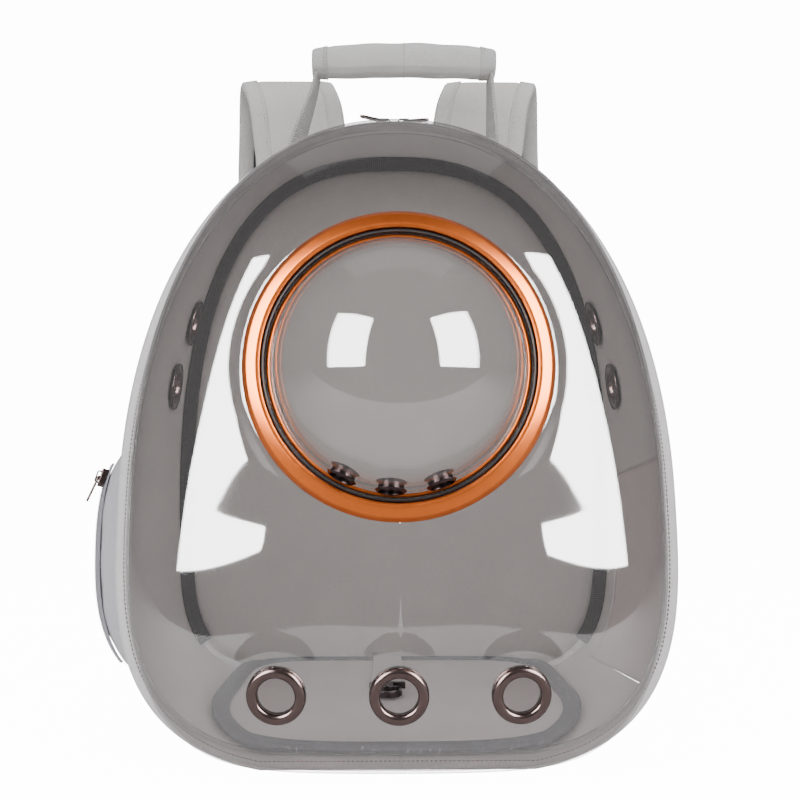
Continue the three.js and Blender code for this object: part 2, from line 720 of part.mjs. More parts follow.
// Bubble: a cap of a sphere on a short spigot, with a flange behind the inner ring.
function domeGeometry() {
  const centre = domeRise - domeRadius;
  const arc = (radius, count) => {
    const end = Math.asin(Math.min(domeBase / domeRadius, 1));
    const start = domeRadius > domeRise ? end : Math.PI - end;
    return steps(start, 0, count).map((angle) => [radius * Math.sin(angle), centre + radius * Math.cos(angle)]);
  };
  const outer = arc(domeRadius, domeRows);
  const inner = arc(domeRadius - domeWall, domeRows).reverse();
  inner[inner.length - 1][1] = -shellWall - fit;
  const profile = [
    [domeFlange, fit],
    [domeFlange, fit + domeWall],
    [domeBase, fit + domeWall],
    ...outer.slice(1),
    ...inner.slice(0, -1),
    [domeBase - domeWall, -shellWall],
    [domeBase, -shellWall],
    [domeBase, fit],
  ];
  const points = [...profile, profile[0]].map(([radius, height]) => new THREE.Vector2(radius, height));
  return welded(new THREE.LatheGeometry(points, ringSides));
}

// Seat of a vent on the bubble, in the bubble's own frame: down is the side away from the top of the window.
function ventSeat(turn) {
  const polar = ventPolar * degree;
  const around = turn * degree;
  const normal = new THREE.Vector3(
    Math.sin(polar) * Math.sin(around), Math.cos(polar), ventDown * Math.sin(polar) * Math.cos(around),
  );
  const centre = normal.clone().multiplyScalar(domeRadius);
  centre.y += domeRise - domeRadius;
  return { centre, normal, turn: new THREE.Quaternion().setFromUnitVectors(latheAxis, normal) };
}

// Turning the lathe axis onto the seat's normal sends the lathe's +Z to the window's lower side or its upper side.
const ventDown = -Math.sign(new THREE.Vector3(0, 0, 1).applyQuaternion(windowSeat.turn).z);

function ventGeometry() {
  const bottom = -domeWall - ventSlack;
  return turned([
    [ventHole, bottom - ventLip],
    [ventOuter, bottom - ventLip * 0.4],
    [ventBarrel, bottom],
    [ventBarrel, fit],
    [ventOuter, fit],
    [ventHole, fit + ventLip],
  ], ventSides);
}

function addWindow() {
  const base = fit;
  const ring = turned([
    [ringInner, base],
    [ringOuter, base],
    [ringOuter, base + ringRise * ringFace.edge],
    [ringOuter - ringRise * ringFace.edge, base + ringRise * ringFace.bevel],
    [ringInner + ringFace.round, base + ringRise],
    [ringInner, base + ringRise * ringFace.inner],
  ], ringSides);
  piece('window_ring', ring, 'copper', windowSeat);
  const seatTop = fit + domeWall + fit;
  const gasketOut = ringInner - fit;
  const gasketIn = ringInner - gasketWidth;
  piece('window_gasket', turned([
    [gasketIn + turnGap, seatTop],
    [gasketOut, seatTop],
    [gasketOut, seatTop + gasketRise * 0.8],
    [gasketIn + turnGap, seatTop + gasketRise],
  ], ringSides), 'rubber', windowSeat);
  piece('dome_bezel', turned([
    [domeBase + fit, seatTop],
    [gasketIn, seatTop],
    [gasketIn, seatTop + bezelRise * 0.7],
    [mix(domeBase, gasketIn, 0.6), seatTop + bezelRise],
    [domeBase + fit * 2, seatTop + bezelRise * 0.8],
  ], ringSides), 'copper', windowSeat);
  const seats = [-1, 0, 1].map((side) => ventSeat(side * ventSpread + ventShift));
  const drill = new THREE.CylinderGeometry(ventBarrel + fit, ventBarrel + fit, domeWall + drillSlack, ventSides);
  const cutters = seats.map((seat) => placed(drill, seat));
  const bubble = new THREE.Matrix4().compose(windowSeat.centre, windowSeat.turn, new THREE.Vector3(1, 1, 1));
  piece('bubble_dome', cut(domeGeometry(), ...cutters), 'clear', windowSeat);
  seats.forEach((seat, i) => {
    const centre = seat.centre.clone().applyMatrix4(bubble);
    const turn = windowSeat.turn.clone().multiply(seat.turn);
    piece(`dome_vent_${i + 1}`, ventGeometry(), 'gunmetal', { centre, turn });
  });
  const lockTop = -shellWall - fit;
  const lockInner = holeRadius + lockSlack;
  piece('window_lock_ring', turned([
    [lockInner, lockTop - lockThick],
    [lockInner + lockWidth, lockTop - lockThick],
    [lockInner + lockWidth, lockTop],
    [lockInner, lockTop],
  ], ringSides), 'copper', windowSeat);
}

// Zip sliders at the top of the rim

const tapeTop = rimShape.height - tapeInset;

// A slider on a zip that runs along X, its bridge over the middle: body and bridge in one.
function sliderGeometry() {
  const { length, width, thick, bridgeLength, bridgeWidth, bridgeRise, bar, corner } = slider;
  const nose = width / 2 * slider.nose;
  const shoulder = length * slider.shoulder;
  const sunk = thick - slider.sunk;
  const body = new THREE.Shape();
  body.moveTo(-length / 2, -width / 2);
  body.lineTo(shoulder, -width / 2);
  body.lineTo(length / 2, -nose);
  body.lineTo(length / 2, nose);
  body.lineTo(shoulder, width / 2);
  body.lineTo(-length / 2, width / 2);
  const plate = new THREE.ExtrudeGeometry(body, { depth: thick, bevelEnabled: false });
  const arch = new THREE.Shape();
  const [half, top] = [bridgeLength / 2, thick + bridgeRise];
  arch.moveTo(-half, sunk);
  arch.lineTo(-half, top - corner);
  arch.lineTo(-half + corner, top);
  arch.lineTo(half - corner, top);
  arch.lineTo(half, top - corner);
  arch.lineTo(half, sunk);
  arch.lineTo(half - bar, sunk);
  arch.lineTo(half - bar, top - bar);
  arch.lineTo(-half + bar, top - bar);
  arch.lineTo(-half + bar, sunk);
  const bridge = new THREE.ExtrudeGeometry(arch, { depth: bridgeWidth, bevelEnabled: false })
    .rotateX(Math.PI / 2).translate(0, bridgeWidth / 2, 0);
  return join(plate, bridge);
}

// A pull tab that lies along +X from its cross bar at the origin, with a slot that the bridge passes through.
function tabGeometry() {
  const { length, width, thick, arm, slot, holeRadius: eye } = tab;
  const shape = new THREE.Shape();
  const half = width / 2;
  const straight = length - half * tab.round;
  shape.moveTo(-thick / 2, -half);
  shape.lineTo(straight, -half);
  shape.quadraticCurveTo(length, -half, length, 0);
  shape.quadraticCurveTo(length, half, straight, half);
  shape.lineTo(-thick / 2, half);
  const window = new THREE.Path();
  window.moveTo(thick / 2, -half + arm);
  window.lineTo(thick / 2, half - arm);
  window.lineTo(thick / 2 + slot, half - arm);
  window.lineTo(thick / 2 + slot, -half + arm);
  const round = new THREE.Path();
  round.absarc(length - half * tab.holePlace, 0, eye, 0, 2 * Math.PI, true);
  shape.holes.push(window, round);
  return new THREE.ExtrudeGeometry(shape, { depth: thick, bevelEnabled: false, curveSegments: 6 })
    .translate(0, 0, -thick / 2);
}

// Cross bar's height over the slider's underside: midway under the bridge.
const barRise = slider.thick + (slider.bridgeRise - slider.bar) / 2;

function addSliders() {
  const y = rimY(rimShape.height) + bindingWidth / 2 + fit + tapeWidth / 2;
  for (const [side, sign] of [['left', -1], ['right', 1]]) {
    const x = sliderPlaces[side];
    const turn = new THREE.Quaternion().setFromAxisAngle(upAxis, sign > 0 ? 0 : Math.PI);
    const rest = tapeTop + fit;
    piece(`zip_slider_${side}`, sliderGeometry(), 'gunmetal', { centre: new THREE.Vector3(x, y, rest), turn });
    const lift = new THREE.Quaternion().setFromAxisAngle(new THREE.Vector3(0, -1, 0), tabRest[side] * degree);
    piece(`zip_pull_${side}`, tabGeometry(), 'gunmetal', {
      centre: new THREE.Vector3(x, y, rest + barRise),
      turn: turn.clone().multiply(lift),
    });
  }
}

// Left pocket with its upright zip

const pouchRise = (t) => (1 - Math.abs(t) ** pocket.power) ** pocket.round;
const pouch = (u, v) => pocket.bulge * pouchRise(u) * pouchRise(v);

function addPocket() {
  piece('side_pocket', skinPatch(pocket, pocket.gap + pocket.wall, -pocket.gap, pouch, 9, 7), 'cloth');
  const rows = [pocketZip.across - pocketZip.width / 2, pocketZip.across + pocketZip.width / 2];
  const spot = (height, across, lift) => {
    const v = across * 2 - 1;
    const angle = mix(pocket.low, pocket.high, (height + 1) / 2) * degree;
    const share = mix(pocket.front, pocket.back, across);
    return skinPoint(angle, -pouch(height, v) - pocket.gap - pocket.wall - lift, share);
  };
  const { slack } = pocketZip;
  const columns = steps(-pocketZip.end, pocketZip.end, 10);
  const layer = (lift) => rows.map((across) => columns.map((height) => spot(height, across, lift)));
  piece('pocket_zip', wall(layer(fit + slack + pocketZip.thick), layer(fit + slack)), 'zipTape');
  const at = (height, across) => new THREE.Vector3(...spot(height, across, fit * 2 + slack + pocketZip.thick));
  const { height } = pocketSlider;
  const down = at(height - 0.1, pocketZip.across).sub(at(height + 0.1, pocketZip.across)).normalize();
  const across = at(height, rows[1]).sub(at(height, rows[0])).normalize();
  const out = down.clone().cross(across).normalize();
  if (out.x > 0) out.negate();
  const basis = new THREE.Matrix4().makeBasis(down, out.clone().cross(down), out);
  const turn = new THREE.Quaternion().setFromRotationMatrix(basis);
  const centre = at(height, pocketZip.across).addScaledVector(out, pocketSlider.lift);
  piece('pocket_slider', sliderGeometry(), 'gunmetal', { centre, turn });
  const lift = new THREE.Quaternion().setFromAxisAngle(new THREE.Vector3(0, -1, 0), pocketSlider.rest * degree);
  piece('pocket_pull', tabGeometry(), 'gunmetal', {
    centre: centre.clone().addScaledVector(out, barRise),
    turn: turn.clone().multiply(lift),
  });
}

// Handle

function addHandle() {
  const { length, shift, y, lift, height, thick, arch, endShare, square, sides } = handle;
  const low = rimShape.height + lift;
  const gripSize = (along) => mix(1, endShare, Math.abs(along) ** 4);
  const gripMiddle = (along) => low + height / 2 + arch * (1 - along * along);
  const gripLow = (along) => gripMiddle(along) - height / 2 * gripSize(along);
  const rings = steps(-1, 1, 8).map((along) => {
    const size = gripSize(along);
    const middle = gripMiddle(along);
    return range(sides).map((i) => {
      const angle = (i + 0.5) / sides * 2 * Math.PI;
      const [c, s] = [Math.cos(angle), Math.sin(angle)];
      return [
        shift + along * length / 2,
        y + Math.sign(c) * Math.abs(c) ** square * thick / 2,
        middle + Math.sign(s) * Math.abs(s) ** square * height / 2 * size,
      ];
    });
  });
  piece('handle_grip', loft(rings), 'cloth');
  for (const [side, sign] of [['left', -1], ['right', 1]]) {
    const top = sign * (length / 2 - handleWeb.inset);
    const foot = top + sign * handleWeb.spread[side];
    const skinTop = (x, depth) => {
      const at = (angle) => skinPoint(angle, 0, shareAtY(angle, depth));
      const angle = angleWhere((a) => at(a)[0], Math.abs(x), 30 * degree, 90 * degree);
      return at(angle)[2] - handleWeb.settle[side];
    };
    const corners = [[-1, -1], [1, -1], [1, 1], [-1, 1]];
    const ring = (x, level) => corners.map(([across, along]) => {
      const px = shift + x + across * handleWeb.thick / 2;
      const py = y + along * handleWeb.width / 2;
      return [px, py, level ?? skinTop(px, py) + fit];
    });
    const gripFloor = gripLow(top / (length / 2)) - fit;
    const bend = mix(skinTop(shift + foot, y) + webBend.spring, gripFloor, webBend.up);
    const rows = [ring(foot, null), ring(mix(foot, top, webBend.along), bend), ring(top, gripFloor)];
    piece(`handle_web_${side}`, loft(rows), 'edging');
  }
}

// Shoulder straps, their webbing and buckles

const strapBack = backY + backThick / 2 + fit;

// Middle line of a strap, with its first stretch a small gap behind the back panel.
const strapLine = (sign) => strapStations.map(({ out, up = 0, down = 0, turn, splay }) => ({
  x: strap.lean + sign * (strap.inner + strap.width / 2 + strap.splay * splay),
  y: strapBack + strap.gap + strap.thick / 2 + strap.reach * out,
  z: rimShape.height + strap.rise * up - strap.drop * down,
  turn: turn * degree,
}));

function strapGeometry(sign) {
  const { width, thick, edge } = strap;
  const slope = edge * 0.15;
  const section = [
    [-0.5, -0.5 + edge],
    [-0.5 + slope, -0.5],
    [0.5 - slope, -0.5],
    [0.5, -0.5 + edge],
    [0.5, 0.5 - edge],
    [0.5 - slope, 0.5],
    [-0.5 + slope, 0.5],
    [-0.5, 0.5 - edge],
  ];
  return loft(strapLine(sign).map(({ x, y, z, turn }) => section.map(([across, through]) => [
    x + across * width,
    y - Math.sin(turn) * through * thick,
    z + Math.cos(turn) * through * thick,
  ])));
}

function addStraps() {
  for (const [side, sign] of [['left', -1], ['right', 1]]) {
    piece(`shoulder_strap_${side}`, strapGeometry(sign), 'cloth');
    const line = strapLine(sign);
    const end = line[line.length - 1];
    const top = end.z - buckle.height / 2 - fit * 2;
    const y = end.y - buckle.forward;
    const frame = cut(
      boxBetween([-buckle.width / 2, -buckle.thick / 2, -buckle.height / 2],
        [buckle.width / 2, buckle.thick / 2, buckle.height / 2]),
      boxBetween([-buckle.width / 2 + buckle.bar, -buckle.thick, buckle.bar / 2],
        [buckle.width / 2 - buckle.bar, buckle.thick, buckle.height / 2 - buckle.bar]),
      boxBetween([-buckle.width / 2 + buckle.bar, -buckle.thick, -buckle.height / 2 + buckle.bar],
        [buckle.width / 2 - buckle.bar, buckle.thick, -buckle.bar / 2]),
    );
    piece(`strap_buckle_${side}`, frame, 'plastic', {
      centre: new THREE.Vector3(end.x, y, top),
      turn: new THREE.Quaternion(),
    });
    const foot = { x: sign * strapWeb.footOut, y: strapBack + strapWeb.thick / 2, z: strapWeb.foot };
    const start = { x: end.x, y, z: top - buckle.height / 2 - fit };
    const rows = steps(0, 1, 6).map((share) => {
      const point = {
        x: mix(start.x, foot.x, share),
        y: mix(start.y, foot.y, share ** strapWeb.sag),
        z: mix(start.z, foot.z, share),
      };
      const [w, t] = [strapWeb.width / 2, strapWeb.thick / 2];
      return [[-w, -t], [w, -t], [w, t], [-w, t]].map(([across, through]) => [
        point.x + across, point.y + through, point.z,
      ]);
    });
    piece(`strap_web_${side}`, loft(rows), 'edging');
  }
}

// Lead on the mat, its snap hook and the hook's gate

const hookPlace = new THREE.Vector3(lead.x, lead.front - fit, matTopAt(lead.front) + fit + hook.thick / 2);

// A flat ring standing up by the hook's thickness.
function hookRing(outer, inner, y) {
  const shape = new THREE.Shape();
  shape.absarc(0, y, outer, 0, 2 * Math.PI, false);
  const eye = new THREE.Path();
  eye.absarc(0, y, inner, 0, 2 * Math.PI, true);
  shape.holes.push(eye);
  return new THREE.ExtrudeGeometry(shape, { depth: hook.thick, bevelEnabled: false, curveSegments: 9 })
    .translate(0, 0, -hook.thick / 2);
}

function addLead() {
  const back = backY - backThick / 2 - fit;
  const half = lead.width / 2;
  const rows = steps(back, lead.front, 8).map((y, i) => {
    const lift = lead.rise * Math.sin(i * lead.wave) ** 2;
    return [[-half, 0], [half, 0], [half, lead.thick], [-half, lead.thick]].map(([across, rise]) => [
      lead.x + across, y, matTopAt(y) + fit + lift + rise,
    ]);
  });
  piece('lead_strap', loft(rows), 'edging');
  const { barWidth, bar, thick, body, neck, loop, wire, mouth, gateThick } = hook;
  const flat = (low2, high2, tall = thick) => boxBetween([...low2, -tall / 2], [...high2, tall / 2]);
  const loopY = -bar - neck - loop + wire / 2;
  const mouthFrom = -bar - neck - wire;
  const mouthTo = loopY - loop * mouth;
  const open = flat([loop - wire - 1, mouthTo], [loop + 1, mouthFrom], thick * 2);
  const made = join(
    flat([-barWidth / 2, -bar], [barWidth / 2, 0]),
    flat([-body / 2, -bar - neck - wire / 2], [body / 2, -bar + 0.5]),
    hookRing(loop, loop - wire, loopY),
  );
  piece('lead_hook', cut(made, open), 'gunmetal', { centre: hookPlace, turn: new THREE.Quaternion() });
  const gate = flat([-gateThick, mouthTo - mouthFrom + fit * 2], [0, 0], thick * 0.7);
  piece('hook_gate', gate, 'gunmetal', {
    centre: new THREE.Vector3(hookPlace.x + loop - fit, hookPlace.y + mouthFrom - fit, hookPlace.z),
    turn: new THREE.Quaternion(),
  });
}

piece('front_shell', frontShell(), 'clear');
addRim();
addBody();
addBack();
addMat();
addWindow();
addShellEyelets();
addSliders();
addPocket();
addHandle();
addStraps();
addLead();

export default group;
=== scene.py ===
import math

import bmesh
import bpy
import numpy as np
from mathutils import Matrix, Vector


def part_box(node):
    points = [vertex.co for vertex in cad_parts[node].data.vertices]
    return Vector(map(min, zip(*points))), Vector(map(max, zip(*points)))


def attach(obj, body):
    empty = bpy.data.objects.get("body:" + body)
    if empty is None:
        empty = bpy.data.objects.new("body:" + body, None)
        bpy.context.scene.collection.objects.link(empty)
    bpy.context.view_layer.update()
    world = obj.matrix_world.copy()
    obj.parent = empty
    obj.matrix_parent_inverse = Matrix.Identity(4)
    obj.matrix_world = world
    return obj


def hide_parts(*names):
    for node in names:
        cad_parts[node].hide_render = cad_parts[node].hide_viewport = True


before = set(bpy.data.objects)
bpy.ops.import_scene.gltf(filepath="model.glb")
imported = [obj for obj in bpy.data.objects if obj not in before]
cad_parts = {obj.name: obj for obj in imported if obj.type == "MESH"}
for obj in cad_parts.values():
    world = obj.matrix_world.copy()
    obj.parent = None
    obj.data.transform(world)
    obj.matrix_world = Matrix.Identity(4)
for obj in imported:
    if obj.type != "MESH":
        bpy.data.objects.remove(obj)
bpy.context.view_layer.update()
fine = 1.0
tau = 2 * math.pi
print("frame read")


# Numbers shared by the pieces that follow the body, in metres.
rim = {"width": 0.352, "height": 0.42, "widest": 0.16, "upper": 2.2, "lower": 3.2, "cut": 0.005}
back = {"width": 0.342, "height": 0.418, "widest": 0.13, "upper": 2.6, "lower": 4.0, "cut": 0.003}
body = {"backY": 0.1135, "setback": 0.117, "bend": 1.5, "gap": 0.0003}
shell = {
    "wall": 0.0015, "bulge": 0.05, "top": 3.0, "side": 2.2, "bottom": 4.0, "swell": 0.0065,
    "swellHeight": 0.07, "blunt": 34, "inset": 0.0073, "swellStart": 0.136,
}
window = {"height": 0.245, "outer": 0.0903, "inner": 0.0794, "rise": 0.009, "hole": 0.0739,
          "land": 0.0903, "end": 0.0985, "domeRise": 0.072, "domeWall": 0.0018, "domeLip": 0.0015,
          "bezelGap": 0.003, "bezelRise": 0.0018, "lap": 0.0006,
          "gasketOuter": 0.0044, "gasketInner": 0.0055}
lockRing = {"inner": 0.0749, "outer": 0.0839, "top": -0.0018, "bottom": -0.0058}
eyelet = {"outer": 0.0173, "hole": 0.011, "rise": 0.0023, "spacing": 0.0705, "height": 0.0555,
          "clothWall": 0.0048, "landSlack": 0.005, "inner": 0.0014, "barrel": 0.0013,
           "cut": 0.0035, "clothCut": 0.003}


def count(number, least=4):
    return max(int(round(number * fine)), least)


# Smooth step: three t squared less two t cubed.
def smooth(t):
    t = np.clip(t, 0, 1)
    return t * t * (3 - 2 * t)


def mix(a, b, t):
    return a + (b - a) * t


# Outline of the body seen from the front: a Lame curve cut flat at the base, inset along its own normal.
def outline(shape, angle, inset=0.0):
    c, s = np.cos(angle), np.sin(angle)
    power = np.where(s > 0, shape["upper"], shape["lower"])
    halfWidth = shape["width"] / 2
    halfHeight = np.where(s > 0, shape["height"] - shape["widest"], shape["widest"] + shape["cut"])
    reach = ((np.abs(c) / halfWidth) ** power + (np.abs(s) / halfHeight) ** power) ** (-1 / power)
    nx = np.sign(c) * (np.abs(reach * c) / halfWidth) ** (power - 1) / halfWidth
    nz = np.sign(s) * (np.abs(reach * s) / halfHeight) ** (power - 1) / halfHeight
    length = np.hypot(nx, nz)
    x = reach * c - inset * nx / length
    z = np.maximum(shape["widest"] + reach * s - inset * nz / length, np.maximum(inset, 0))
    return x, z, nx / length, nz / length


# Depth of the rim, which leans back with a power of the height.
def rimY(z):
    return -body["backY"] + body["setback"] * (z / rim["height"]) ** body["bend"]


# Point of the skin between rim and back outline: share runs from rim to back, shift adds metres along Y.
def skin(angle, inset, share, shift=0.0):
    given = [np.asarray(v, float) for v in (angle, inset, share, shift)]
    angle, inset, share, shift = np.broadcast_arrays(*given)
    rx, rz, _, _ = outline(rim, angle, inset)
    bx, bz, _, _ = outline(back, angle, inset)
    start = rimY(outline(rim, angle)[1])
    y = mix(start, body["backY"], share) + shift
    reached = (y - start) / (body["backY"] - start)
    return np.stack([mix(rx, bx, reached), y, np.maximum(mix(rz, bz, reached), 0)], -1)


# Share of the way to the clear front's edge: the two powers' sum to one over the power, joined to the flat foot
# by a blunt maximum.
def shellReach(x, rise):
    power = np.where(rise > 0, rim["upper"], rim["lower"])
    halfWidth = rim["width"] / 2 - shell["inset"]
    halfHeight = np.where(rise > 0, rim["height"] - rim["widest"], rim["widest"] + rim["cut"])
    halfHeight = halfHeight - shell["inset"]
    reach = ((np.abs(x) / halfWidth) ** power + (np.abs(rise) / halfHeight) ** power) ** (1 / power)
    flat = np.maximum(-rise, 0) / (rim["widest"] - shell["inset"])
    top = np.maximum(np.maximum(reach, flat), 1e-9)
    blunt = shell["blunt"]
    return top * ((reach / top) ** blunt + (flat / top) ** blunt) ** (1 / blunt)


# Clear front before its flat seats: depth falls from one in the middle to nought at the edge.
def bulge(x, z):
    rise = z - rim["widest"]
    reach = np.minimum(shellReach(x, rise), 1)
    lean = rise / np.maximum(np.hypot(x, rise), 1e-9)
    end = np.where(rise > 0, shell["top"], shell["bottom"])
    power = mix(shell["side"], end, lean * lean)
    depth = (1 - reach ** power) ** (1 / power)
    edge = rimY(np.maximum(rim["widest"] + rise / np.maximum(reach, 1e-6), 0))
    return mix(edge, -body["backY"] - shell["bulge"], depth), depth


# A flat seat: middle, unit normal, the radius it stays flat to, and the radius where it ends.
def seatAt(centre, normal, land, end):
    normal = np.array(normal) / np.linalg.norm(normal)
    return {"centre": np.array(centre), "normal": normal, "land": land, "end": end}


# The window's seat is the chord between the bulge's depths below and above it.
def windowSeatHere():
    low, high = window["height"] - window["outer"], window["height"] + window["outer"]
    yLow, yHigh = float(bulge(0.0, low)[0]), float(bulge(0.0, high)[0])
    centre = (0, (yLow + yHigh) / 2, window["height"])
    return seatAt(centre, (0, -(high - low), yHigh - yLow), window["land"], window["end"])


# An eyelet's seat takes its normal from the bulge's slopes up and across.
def eyeletSeatHere(x):
    z, step = eyelet["height"], 0.001
    slope = float(bulge(x, z + step)[0] - bulge(x, z - step)[0]) / (2 * step)
    turn = float(bulge(x + step, z)[0] - bulge(x - step, z)[0]) / (2 * step)
    centre = (x, float(bulge(x, z)[0]), z)
    return seatAt(centre, (turn, -1, slope), eyelet["outer"] + eyelet["landSlack"], eyelet["spacing"] / 2)


windowSeat = windowSeatHere()
eyeletSeats = [eyeletSeatHere(side * eyelet["spacing"]) for side in (-1, 0, 1)]


# Outer face of the clear front: bulge, swollen lower edge and the flat seats of window and eyelets.
def shellPoint(x, z):
    y, depth = bulge(x, z)
    angle = np.arctan2(z - rim["widest"], x)
    _, edgeZ, nx, nz = outline(rim, angle)
    start = shell["swellStart"]
    swell = shell["swell"] * (1 - smooth(edgeZ / shell["swellHeight"]))
    swell = swell * smooth((depth - start) / start) * smooth((1 - depth) / 0.4)
    point = np.stack([x + nx * swell, y, z + nz * swell], -1)
    for seat in [windowSeat, *eyeletSeats]:
        away = point - seat["centre"]
        height = away @ seat["normal"]
        radius = np.sqrt(np.maximum((away ** 2).sum(-1) - height ** 2, 0))
        hold = 1 - smooth((radius - seat["land"]) / (seat["end"] - seat["land"]))
        point[..., 1] -= height * hold / seat["normal"][1]
    return point


# Matrix that carries +Z onto a seat's normal, its +Y towards the top of the part, at the seat's middle.
def seatMatrix(seat):
    z = Vector(seat["normal"])
    x = Vector((0, 0, 1)).cross(z).normalized()
    m = Matrix((x, z.cross(x), z)).transposed().to_4x4()
    m.translation = Vector(seat["centre"])
    return m


# Mesh objects from numpy grids

# Object of a mesh, under the mesh's name unless another is given, with its finish and body, and the CAD
# nodes that it replaces.
def addObject(mesh, finish, replaces, bodyName="carrier", name=None):
    obj = bpy.data.objects.new(name or mesh.name, mesh)
    bpy.context.scene.collection.objects.link(obj)
    mesh.materials.append(finishes[finish])
    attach(obj, bodyName)
    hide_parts(*replaces)
    return obj


# Quads of a grid of rows and columns.
def gridFaces(rows, columns, first=0, flip=False):
    r, c = np.arange(rows - 1)[:, None], np.arange(columns - 1)[None, :]
    r2, c2 = r + 1, c + 1
    quads = [r * columns + c, r * columns + c2, r2 * columns + c2, r2 * columns + c]
    quads = np.stack(quads, -1).reshape(-1, 4)
    return (quads[:, ::-1] if flip else quads) + first


# Mesh from whole arrays of points and faces, shaded smooth, with an optional uv layer named weave.
def buildMesh(name, points, faces, uv=None):
    mesh = bpy.data.meshes.new(name)
    points = np.asarray(points, float).reshape(-1, 3)
    faces = np.asarray(faces)
    sides = faces.shape[1]
    mesh.vertices.add(len(points))
    mesh.vertices.foreach_set("co", points.ravel())
    mesh.loops.add(faces.size)
    mesh.loops.foreach_set("vertex_index", faces.ravel().astype(np.int32))
    mesh.polygons.add(len(faces))
    mesh.polygons.foreach_set("loop_start", np.arange(0, faces.size, sides, dtype=np.int32))
    mesh.polygons.foreach_set("use_smooth", np.full(len(faces), True))
    mesh.update(calc_edges=True)
    if uv is not None:
        layer = mesh.uv_layers.new(name="weave")
        layer.uv.foreach_set("vector", np.asarray(uv, float).reshape(-1, 2)[faces.ravel()].ravel())
    mesh.validate()
    return mesh


# Length along rows and columns of a grid of points, in metres, so that a weave keeps its size.
def weaveOf(points):
    along = np.linalg.norm(np.diff(points, axis=1), axis=-1).mean(0)
    across = np.linalg.norm(np.diff(points, axis=0), axis=-1).mean(1)
    u = np.concatenate([[0], np.cumsum(along)])
    v = np.concatenate([[0], np.cumsum(across)])
    return np.stack(np.meshgrid(u, v), -1)


# The first column repeated at the end.
def closedGrid(grid):
    return np.concatenate([grid, grid[:, :1]], 1)


# Mesh of a grid of points whose meeting edges are welded; capped closes its open ends.
def gridMesh(name, grid, flip=False, uv=None, capped=False):
    mesh = buildMesh(name, grid, gridFaces(*grid.shape[:2], flip=flip), weaveOf(grid) if uv is None else uv)
    if capped:
        capEnds(mesh)
    weld(mesh)
    return mesh


# Rows scaled to length one.
def unit(vectors):
    return vectors / np.linalg.norm(vectors, axis=1, keepdims=True)


# A sheet with two faces and closed edges, from an outer and an inner grid; keep drops cells of both.
def wallMesh(name, outer, inner, closed=False, keep=None):
    if closed:
        outer, inner = closedGrid(outer), closedGrid(inner)
    rows, columns = outer.shape[:2]
    cells = np.ones((rows - 1, columns - 1), bool) if keep is None else keep
    front = gridFaces(rows, columns)[cells.ravel()]
    behind = gridFaces(rows, columns, first=rows * columns, flip=True)[cells.ravel()]
    edges = {}
    for a, b in np.concatenate([front[:, [k, (k + 1) % 4]] for k in range(4)]).tolist():
        if (b, a) in edges:
            del edges[(b, a)]
        else:
            edges[(a, b)] = True
    size = rows * columns
    sides = np.array([(b, a, a + size, b + size) for a, b in edges]) if edges else np.zeros((0, 4), int)
    uv = np.concatenate([weaveOf(outer).reshape(-1, 2)] * 2)
    points = np.concatenate([outer.reshape(-1, 3), inner.reshape(-1, 3)])
    return buildMesh(name, points, np.concatenate([front, behind, sides]), uv)


# Band swept round the body: the section's (inset, shift) pairs at every angle.
def bandMesh(name, section, angles, share, closed=False):
    section = np.asarray(section, float)
    a = angles if not closed else np.concatenate([angles, angles[:1] + tau])
    grid = skin(a[:, None], section[None, :, 0], share, section[None, :, 1])
    grid = closedGrid(grid)
    return gridMesh(name, grid, True, weaveOf(grid)[..., ::-1], not closed)


# Points closer than a distance become one, and normals point outwards.
def weld(mesh, distance=1e-6):
    bm = bmesh.new()
    bm.from_mesh(mesh)
    bmesh.ops.remove_doubles(bm, verts=bm.verts, dist=distance)
    bmesh.ops.recalc_face_normals(bm, faces=bm.faces)
    bm.to_mesh(mesh)
    bm.free()


# Open ends are filled with one face each.
def capEnds(mesh):
    bm = bmesh.new()
    bm.from_mesh(mesh)
    bmesh.ops.remove_doubles(bm, verts=bm.verts, dist=1e-6)
    bmesh.ops.holes_fill(bm, edges=[e for e in bm.edges if e.is_boundary], sides=0)
    bm.to_mesh(mesh)
    bm.free()


# Surface of turning a profile of (radius, height) pairs about +Z, then placed by a matrix.
def turnedMesh(name, profile, sides, place):
    profile = np.asarray(profile, float)
    profile = np.concatenate([profile, profile[:1]])
    a = np.linspace(0, tau, sides + 1)
    r, h = profile[:, 0][:, None], profile[:, 1][:, None]
    grid = np.stack([r * np.cos(a), r * np.sin(a), h + 0 * a], -1)
    mesh = buildMesh(name, grid, gridFaces(len(profile), sides + 1), weaveOf(grid))
    mesh.transform(place)
    weld(mesh)
    return mesh


# Profile corners rounded by short arcs, so that turned edges catch the light.
def rounded(profile, radius, steps=3):
    points = [np.array(p, float) for p in profile]
    out = []
    for i, point in enumerate(points):
        before, after = points[i - 1] - point, points[(i + 1) % len(points)] - point
        reach = min(radius, np.linalg.norm(before) * 0.45, np.linalg.norm(after) * 0.45)
        a = point + before / np.linalg.norm(before) * reach
        b = point + after / np.linalg.norm(after) * reach
        for t in np.linspace(0, 1, steps + 1):
            out.append((1 - t) ** 2 * a + 2 * t * (1 - t) * point + t * t * b)
    return out


# Materials

